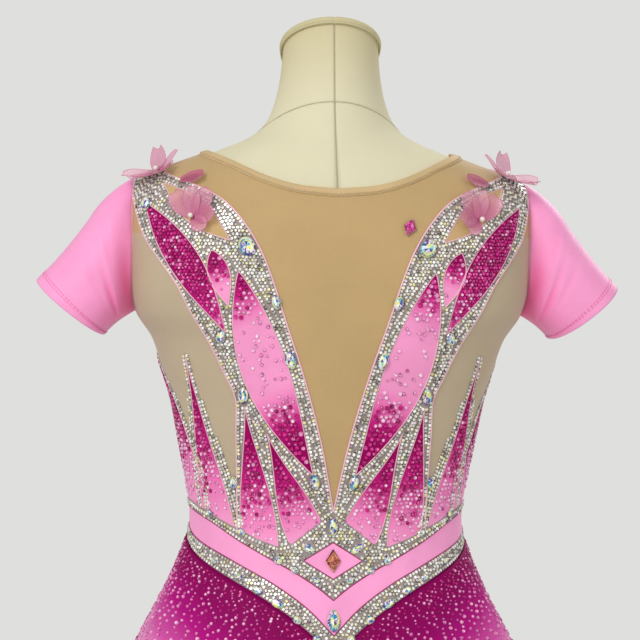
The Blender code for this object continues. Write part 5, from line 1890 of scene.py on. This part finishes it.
# Facet colours of the small stones: their tints with painted reflections, the white facets painted glints
# and the grey to near-black ones painted shade; the clear stones' greys are all painted reflection
# Columns: colour, share of the facets
PALETTES = {
    "clear": (
        (srgb(255, 255, 250), 0.32),
        (srgb(232, 228, 216), 0.17),
        (srgb(190, 182, 172), 0.14),
        (srgb(126, 116, 110), 0.13),
        (srgb(62, 54, 56), 0.12),
        (srgb(236, 226, 140), 0.09),
        (srgb(236, 206, 218), 0.03),
    ),
    "rose": (
        (srgb(255, 236, 248), 0.2),
        (srgb(250, 190, 226), 0.3),
        (srgb(236, 140, 200), 0.24),
        (srgb(206, 90, 160), 0.16),
        (srgb(170, 50, 120), 0.1),
    ),
    "berry": (
        (srgb(204, 16, 128), 0.32),
        (srgb(162, 0, 96), 0.3),
        (srgb(116, 0, 66), 0.16),
        (srgb(228, 70, 162), 0.16),
        (srgb(255, 190, 232), 0.06),
    ),
    "skirt": (
        (srgb(255, 206, 232), 0.18),
        (srgb(240, 150, 202), 0.32),
        (srgb(214, 96, 168), 0.3),
        (srgb(176, 44, 130), 0.2),
    ),
}


def crystal_mesh(name, groups, material, random, sides=CRYSTAL_SIDES):
    """Many small flat-backed stones as one mesh: a base ring, a smaller table turned by half a step,
    triangles between them, and facets round the table's middle. Groups are (places, normals, radii,
    palette)."""
    centres = np.vstack([group[0] for group in groups])
    normals = np.vstack([group[1] for group in groups])
    radii = np.concatenate([group[2] for group in groups])
    count = len(centres)
    helper = np.where(np.abs(normals[:, 2:]) < 0.9, [[0.0, 0.0, 1.0]], [[1.0, 0.0, 0.0]])
    across = np.cross(helper, normals)
    across /= np.linalg.norm(across, axis=1, keepdims=True)
    upward = np.cross(normals, across)
    spin = random.uniform(0, 2 * math.pi, count)
    step = 2 * math.pi / sides
    turn = spin[:, None] + np.arange(sides)[None] * step

    def ring(angle, scale, lift):
        flat = np.cos(angle)[..., None] * across[:, None] + np.sin(angle)[..., None] * upward[:, None]
        lifted = centres + normals * (radii * lift)[:, None]
        return lifted[:, None] + flat * (radii * scale)[:, None, None]

    middle = (centres + normals * (radii * CRYSTAL_RISE)[:, None])[:, None]
    rings = [ring(turn, 1.0, 0.0), ring(turn + step / 2, CRYSTAL_TABLE, CRYSTAL_RISE), middle]
    points = np.concatenate(rings, axis=1)
    here = np.arange(sides)
    after = (here + 1) % sides
    low = np.stack([here, after, here + sides], axis=1)
    high = np.stack([after, after + sides, here + sides], axis=1)
    table = np.stack([here + sides, after + sides, np.full(sides, 2 * sides)], axis=1)
    loops = np.concatenate([low, high, table]).ravel()
    every = (loops[None] + ((2 * sides + 1) * np.arange(count))[:, None]).astype(np.int32).ravel()
    mesh = bpy.data.meshes.new(name)
    mesh.vertices.add(points.shape[0] * points.shape[1])
    mesh.vertices.foreach_set("co", ((points.reshape(-1, 3) + FRAME_OFFSET) * MM).astype(np.float32).ravel())
    mesh.loops.add(len(every))
    mesh.loops.foreach_set("vertex_index", every)
    mesh.polygons.add(3 * sides * count)
    mesh.polygons.foreach_set("loop_start", np.arange(0, len(every), 3, dtype=np.int32))
    mesh.update(calc_edges=True)
    mesh.validate()
    mesh.shade_flat()
    mesh.materials.append(material)
    made = bpy.data.objects.new(name, mesh)
    bpy.context.scene.collection.objects.link(made)
    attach(made, "root")
    colours = []
    for places, _, _, palette in groups:
        # Painted shade: the side facets are darker than the table, and each facet's palette colour is a
        # painted glint, reflection or shade
        depth = np.repeat([0.45, 0.8, 1.1] if palette == "clear" else [0.72, 0.92, 1.06], sides)
        tones = np.array([tone for tone, _ in PALETTES[palette]])
        shares = np.array([share for _, share in PALETTES[palette]])
        facets = random.choice(len(tones), size=(len(places), 3 * sides), p=shares / shares.sum())
        facets[:, 2 * sides + 1 :: 2] = facets[:, 2 * sides :: 2]
        whole = random.choice(len(tones), size=(len(places), 1), p=shares / shares.sum())
        mixed = 0.5 * tones[facets] + 0.5 * tones[whole]
        colours.append((mixed * depth[None, :, None]).reshape(-1, 3))
    paint_faces(made, np.vstack(colours))


def stones_at(face, points, sign, level, radius, palette, random, spread=0.08):
    """Places, normals, radii and palette of crystals at (along, height) points of a panel."""
    places, normals = place(face, points, np.full(len(points), level))
    mirror = (sign, 1, 1)
    radii = radius * (1 + random.uniform(-spread, spread, len(points)))
    return places * mirror, normals * mirror, radii, palette


def cell_stones(row, scheme, random, pitch):
    """Stones on a cell, close where it is deep in colour and sparse where pale: places and depths."""
    loop = stretched(leaf_loop(row))
    net = net_points(loop, pitch, random, 0.3)
    net = net[depth_inside(net, loop) > pitch * 0.5]
    tip, foot = stretched(np.array(row[:2], float)), stretched(np.array(row[2:4], float))
    axis = foot - tip
    t = np.clip(((net - tip) @ axis) / (axis @ axis), 0, 1)
    deep = scheme(t)
    kept = random.random(len(net)) < 0.24 + 0.76 * np.clip((deep - 0.05) / 0.35, 0, 1)
    return unstretched(net[kept]), deep[kept]


def cell_groups(face, points, deep, sign, random, radius):
    """A cell's stones above the waist: berry ones where the cloth is deep, and rose ones elsewhere."""
    above = points[:, 1] > waist_rim(points) + 2.4
    points, deep = points[above], deep[above]
    dark = random.random(len(points)) < np.clip(deep * 1.6 - 0.25, 0, 0.95)
    level = CELL_LEVEL + 0.05
    return [
        stones_at(face, points[dark], sign, level, radius, "berry", random, 0.16),
        stones_at(face, points[~dark], sign, level, radius * 0.82, "rose", random, 0.2),
    ]


def wing_loop():
    arm = armhole_point(np.linspace(0.0, WING_ARMHOLE_TURN, 20))
    shoulder_height = ARMHOLE_HEIGHT + ARMHOLE_HALF_HEIGHT
    heights = np.linspace(V_EDGE_SHOULDER, shoulder_height, 6)[1:-1]
    shoulder = np.column_stack([side_length(heights), heights])
    loop = np.vstack([v_edge, shoulder, arm, wing_outer[1:], resampled(wing_waist, 40)[::-1][1:]])
    return loop[np.linalg.norm(loop - np.roll(loop, 1, axis=0), axis=1) > 0.05]


def waist_bands():
    """The yoke's two bands as closed loops over both halves."""
    top = resampled(both_halves(waist_top) + (0, 0.6), 260)
    upper = np.vstack([top, both_halves(waist_band_foot)[::-1]])
    lower = np.vstack([both_halves(waist_low_top), both_halves(waist_foot)[::-1]])
    return upper, lower


def side_band_rows(random):
    """Rows of crystals round the gore and the spears of the side panel, above the waist."""
    found = []
    for number, line in enumerate(side_outlines()):
        ahead = np.gradient(line, axis=0)
        outward = np.column_stack([ahead[:, 1], -ahead[:, 0]])
        outward /= np.maximum(np.linalg.norm(outward, axis=1, keepdims=True), 1e-9)
        facing = 1 if number in (0, 2, 5) else -1
        for distance, start, inner_only in SIDE_BAND_ROWS:
            if inner_only and number not in (2, 4):
                continue
            moved = (line + outward * distance * facing)[int(start * len(line)) :]
            moved = moved[moved[:, 1] > waist_rim(moved) + 2]
            found.append(resampled(moved, int(run_of(moved)[-1] / CRYSTAL_PITCH)))
    points = np.vstack(found)
    points += random.uniform(-0.12, 0.12, points.shape)
    return thinned(points, CRYSTAL_PITCH * 0.85)[0]


def skirt_stones(face, random):
    """Groups of stones scattered on the skirt: small and dark under the yoke, larger and paler below."""
    share, down = random.uniform(-1, 1, 9000), random.uniform(0, 1, 9000)
    fall = 3.5 + 96.0 * down**1.3
    order = np.argsort(fall)
    share, fall = share[order], fall[order]
    top = share_reader(waist_foot)(share) - SKIRT_SEAM_GAP
    part = np.clip(fall / (top - SKIRT_HEM), 0.0, 0.97)
    places, _, _ = skirt_surface(face, share, part, SKIRT_LEVEL)
    spacing = 5.4 + 0.07 * fall
    kept = thinned(places / spacing[:, None], 1.0)[1]
    share, part, places, fall = share[kept], part[kept], places[kept], fall[kept]
    aside, _, _ = skirt_surface(face, share + 0.01, part, SKIRT_LEVEL)
    below, _, _ = skirt_surface(face, share, part + 0.01, SKIRT_LEVEL)
    normals = np.cross(aside - places, below - places)
    normals /= np.linalg.norm(normals, axis=1, keepdims=True)
    inward = (normals[:, :2] * places[:, :2]).sum(axis=1) < 0
    normals[inward] *= -1
    radii = (0.95 + 0.011 * fall) * random.uniform(0.7, 1.35, len(places))
    dark = random.random(len(places)) < 0.7 - fall / 60
    kinds = ((dark, "berry"), (~dark, "skirt"))
    return [(places[some], normals[some], radii[some], kind) for some, kind in kinds]


def make_crystals():
    random = np.random.default_rng(SEED + 1)
    seats = [
        (along, height, max(length, width) / 2 - 0.4)
        for _, along, height, length, width, _, _ in STONE_PAIRS
    ]
    waist_seats = [
        (along * sign, height, length / 2 - 0.2)
        for along, height, length, _, _ in WAIST_STONES
        for sign in (1, -1)
    ]
    loop = wing_loop()
    holes = [leaf_loop(row) for _, *row in WING_CELLS]
    upper, lower = waist_bands()
    for face in ("back", "front"):
        clear, coloured = [], []
        for sign in (1, -1):
            points = band_stones(face, loop, holes, random, seats if face == "back" else ())
            clear.append(stones_at(face, points, sign, WING_LEVEL + 0.05, CRYSTAL_RADIUS, "clear", random))
            for scheme, *row in WING_CELLS:
                if scheme in SCHEMES:
                    pitch, radius = CELL_STONES[scheme]
                    found = cell_stones(row, SCHEMES[scheme], random, pitch)
                    coloured += cell_groups(face, *found, sign, random, radius)
        crystal_mesh(f"{face}_wing_crystals", clear, crystal_glass, random)
        crystal_mesh(f"{face}_cell_stones", coloured, cell_glass, random)
        taken = waist_seats + [(0, 302, 6.5)] if face == "back" else waist_seats
        bands = [
            band_stones(face, upper, [diamond_loop()], random, taken),
            band_stones(face, lower, [], random, taken),
        ]
        level = WAIST_LEVEL + 0.1
        groups = [stones_at(face, band, 1, level, CRYSTAL_RADIUS, "clear", random) for band in bands]
        crystal_mesh(f"{face}_waist_crystals", groups, crystal_glass, random)
        crystal_mesh(f"{face}_skirt_stones", skirt_stones(face, random), cell_glass, random)
    for side, sign in (("right", 1), ("left", -1)):
        found = side_band_rows(random)
        clear = stones_at("back", found, sign, MESH_LEVEL + 0.1, CRYSTAL_RADIUS, "clear", random)
        crystal_mesh(f"side_crystals_{side}", [clear], crystal_glass, random)
        groups = []
        pitch, radius = CELL_STONES["tip"]
        points, deep = cell_stones(SIDE_SPEAR, tip_scheme, random, pitch)
        gore = (0, SIDE_GORE_TIP, 0, SIDE_GORE_FOOT, SIDE_GORE_WIDTH, 0, 0.5)
        gore_stones, gore_deep = cell_stones(gore, gore_scheme, random, pitch)
        gore_stones[:, 0] += side_length(gore_stones[:, 1])
        for flat, depth in ((points, deep), (mirror_along(points), deep), (gore_stones, gore_deep)):
            groups += cell_groups("back", flat, depth, sign, random, radius)
        crystal_mesh(f"side_cell_stones_{side}", groups, cell_glass, random)


# Studio

TARGET = np.array([0.0, 0.0, 473.0]) + FRAME_OFFSET
CAMERA_DISTANCE = 2000.0
CAMERA_AZIMUTH = -4.5
CAMERA_ROLL = -0.6
CAMERA_FOCAL = 130.8
CAMERA_SHIFT_X = -0.012
FLOOR_RADIUS = 1150.0
AMBIENT = 0.72  # strength of the even light from all round


def make_camera():
    azimuth = math.radians(CAMERA_AZIMUTH)
    away = np.array([math.sin(azimuth), -math.cos(azimuth), 0.0])
    data = bpy.data.cameras.new("camera")
    data.lens = CAMERA_FOCAL
    data.sensor_width = 36.0
    data.shift_x = CAMERA_SHIFT_X
    data.clip_end = 50.0
    camera = bpy.data.objects.new("camera", data)
    camera.location = (TARGET + away * CAMERA_DISTANCE) * MM
    camera.rotation_euler = (math.radians(90.0), math.radians(CAMERA_ROLL), azimuth)
    bpy.context.scene.collection.objects.link(camera)
    bpy.context.scene.camera = camera


def make_light(name, spot, size, power, colour=(1.0, 1.0, 1.0)):
    data = bpy.data.lights.new(name, "AREA")
    data.shape = "RECTANGLE"
    data.size, data.size_y = size
    data.energy = power
    data.color = colour
    light = bpy.data.objects.new(name, data)
    light.location = spot
    aim = np.array([0.0, 0.0, 0.45]) - np.array(spot)
    level = math.hypot(aim[0], aim[1])
    light.rotation_euler = (math.atan2(level, -aim[2]), 0.0, math.atan2(aim[1], aim[0]) - math.pi / 2)
    bpy.context.scene.collection.objects.link(light)


def make_studio():
    scene = bpy.context.scene
    scene.view_settings.view_transform = "Standard"
    world = bpy.data.worlds.new("studio")
    world.use_nodes = True
    tree = world.node_tree
    sky = tree.nodes["Background"]
    sky.inputs["Color"].default_value = (*srgb(223, 223, 221), 1.0)
    seen = tree.nodes.new("ShaderNodeLightPath").outputs["Is Camera Ray"]
    backdrop = math_node(tree, "MULTIPLY", seen, 1 - AMBIENT)
    tree.links.new(math_node(tree, "ADD", backdrop, AMBIENT), sky.inputs["Strength"])
    scene.world = world
    make_light("key", (-1.6, -2.4, 2.1), (1.4, 1.4), 58.0)
    make_light("fill", (2.2, -2.0, 1.2), (1.8, 1.8), 12.0)
    make_light("back_key", (1.6, 2.4, 2.1), (1.6, 1.6), 40.0)
    turn = np.arange(96) * 2 * math.pi / 96
    radii = np.array([0.0, 300.0, 700.0, FLOOR_RADIUS])[:, None]
    points = np.stack([radii * np.cos(turn), radii * np.sin(turn), np.full((4, 96), -0.2)], axis=-1)
    floor_paint = finish("floor_paint", 0.8, srgb(226, 226, 224), bump=0.0, mottle=(3.0, 0.99, 1.01))
    upward = np.broadcast_to([0.0, 0.0, 1.0], points.shape)
    floor = grid_piece("floor", points, upward, floor_paint, closed=True)


make_camera()
make_studio()
make_form()
make_yokes()
make_wings()
make_sides()
make_waist()
make_neck_binding()
make_skirt()
make_brief()
make_sleeves()
make_flowers()
make_stones()
make_crystals()
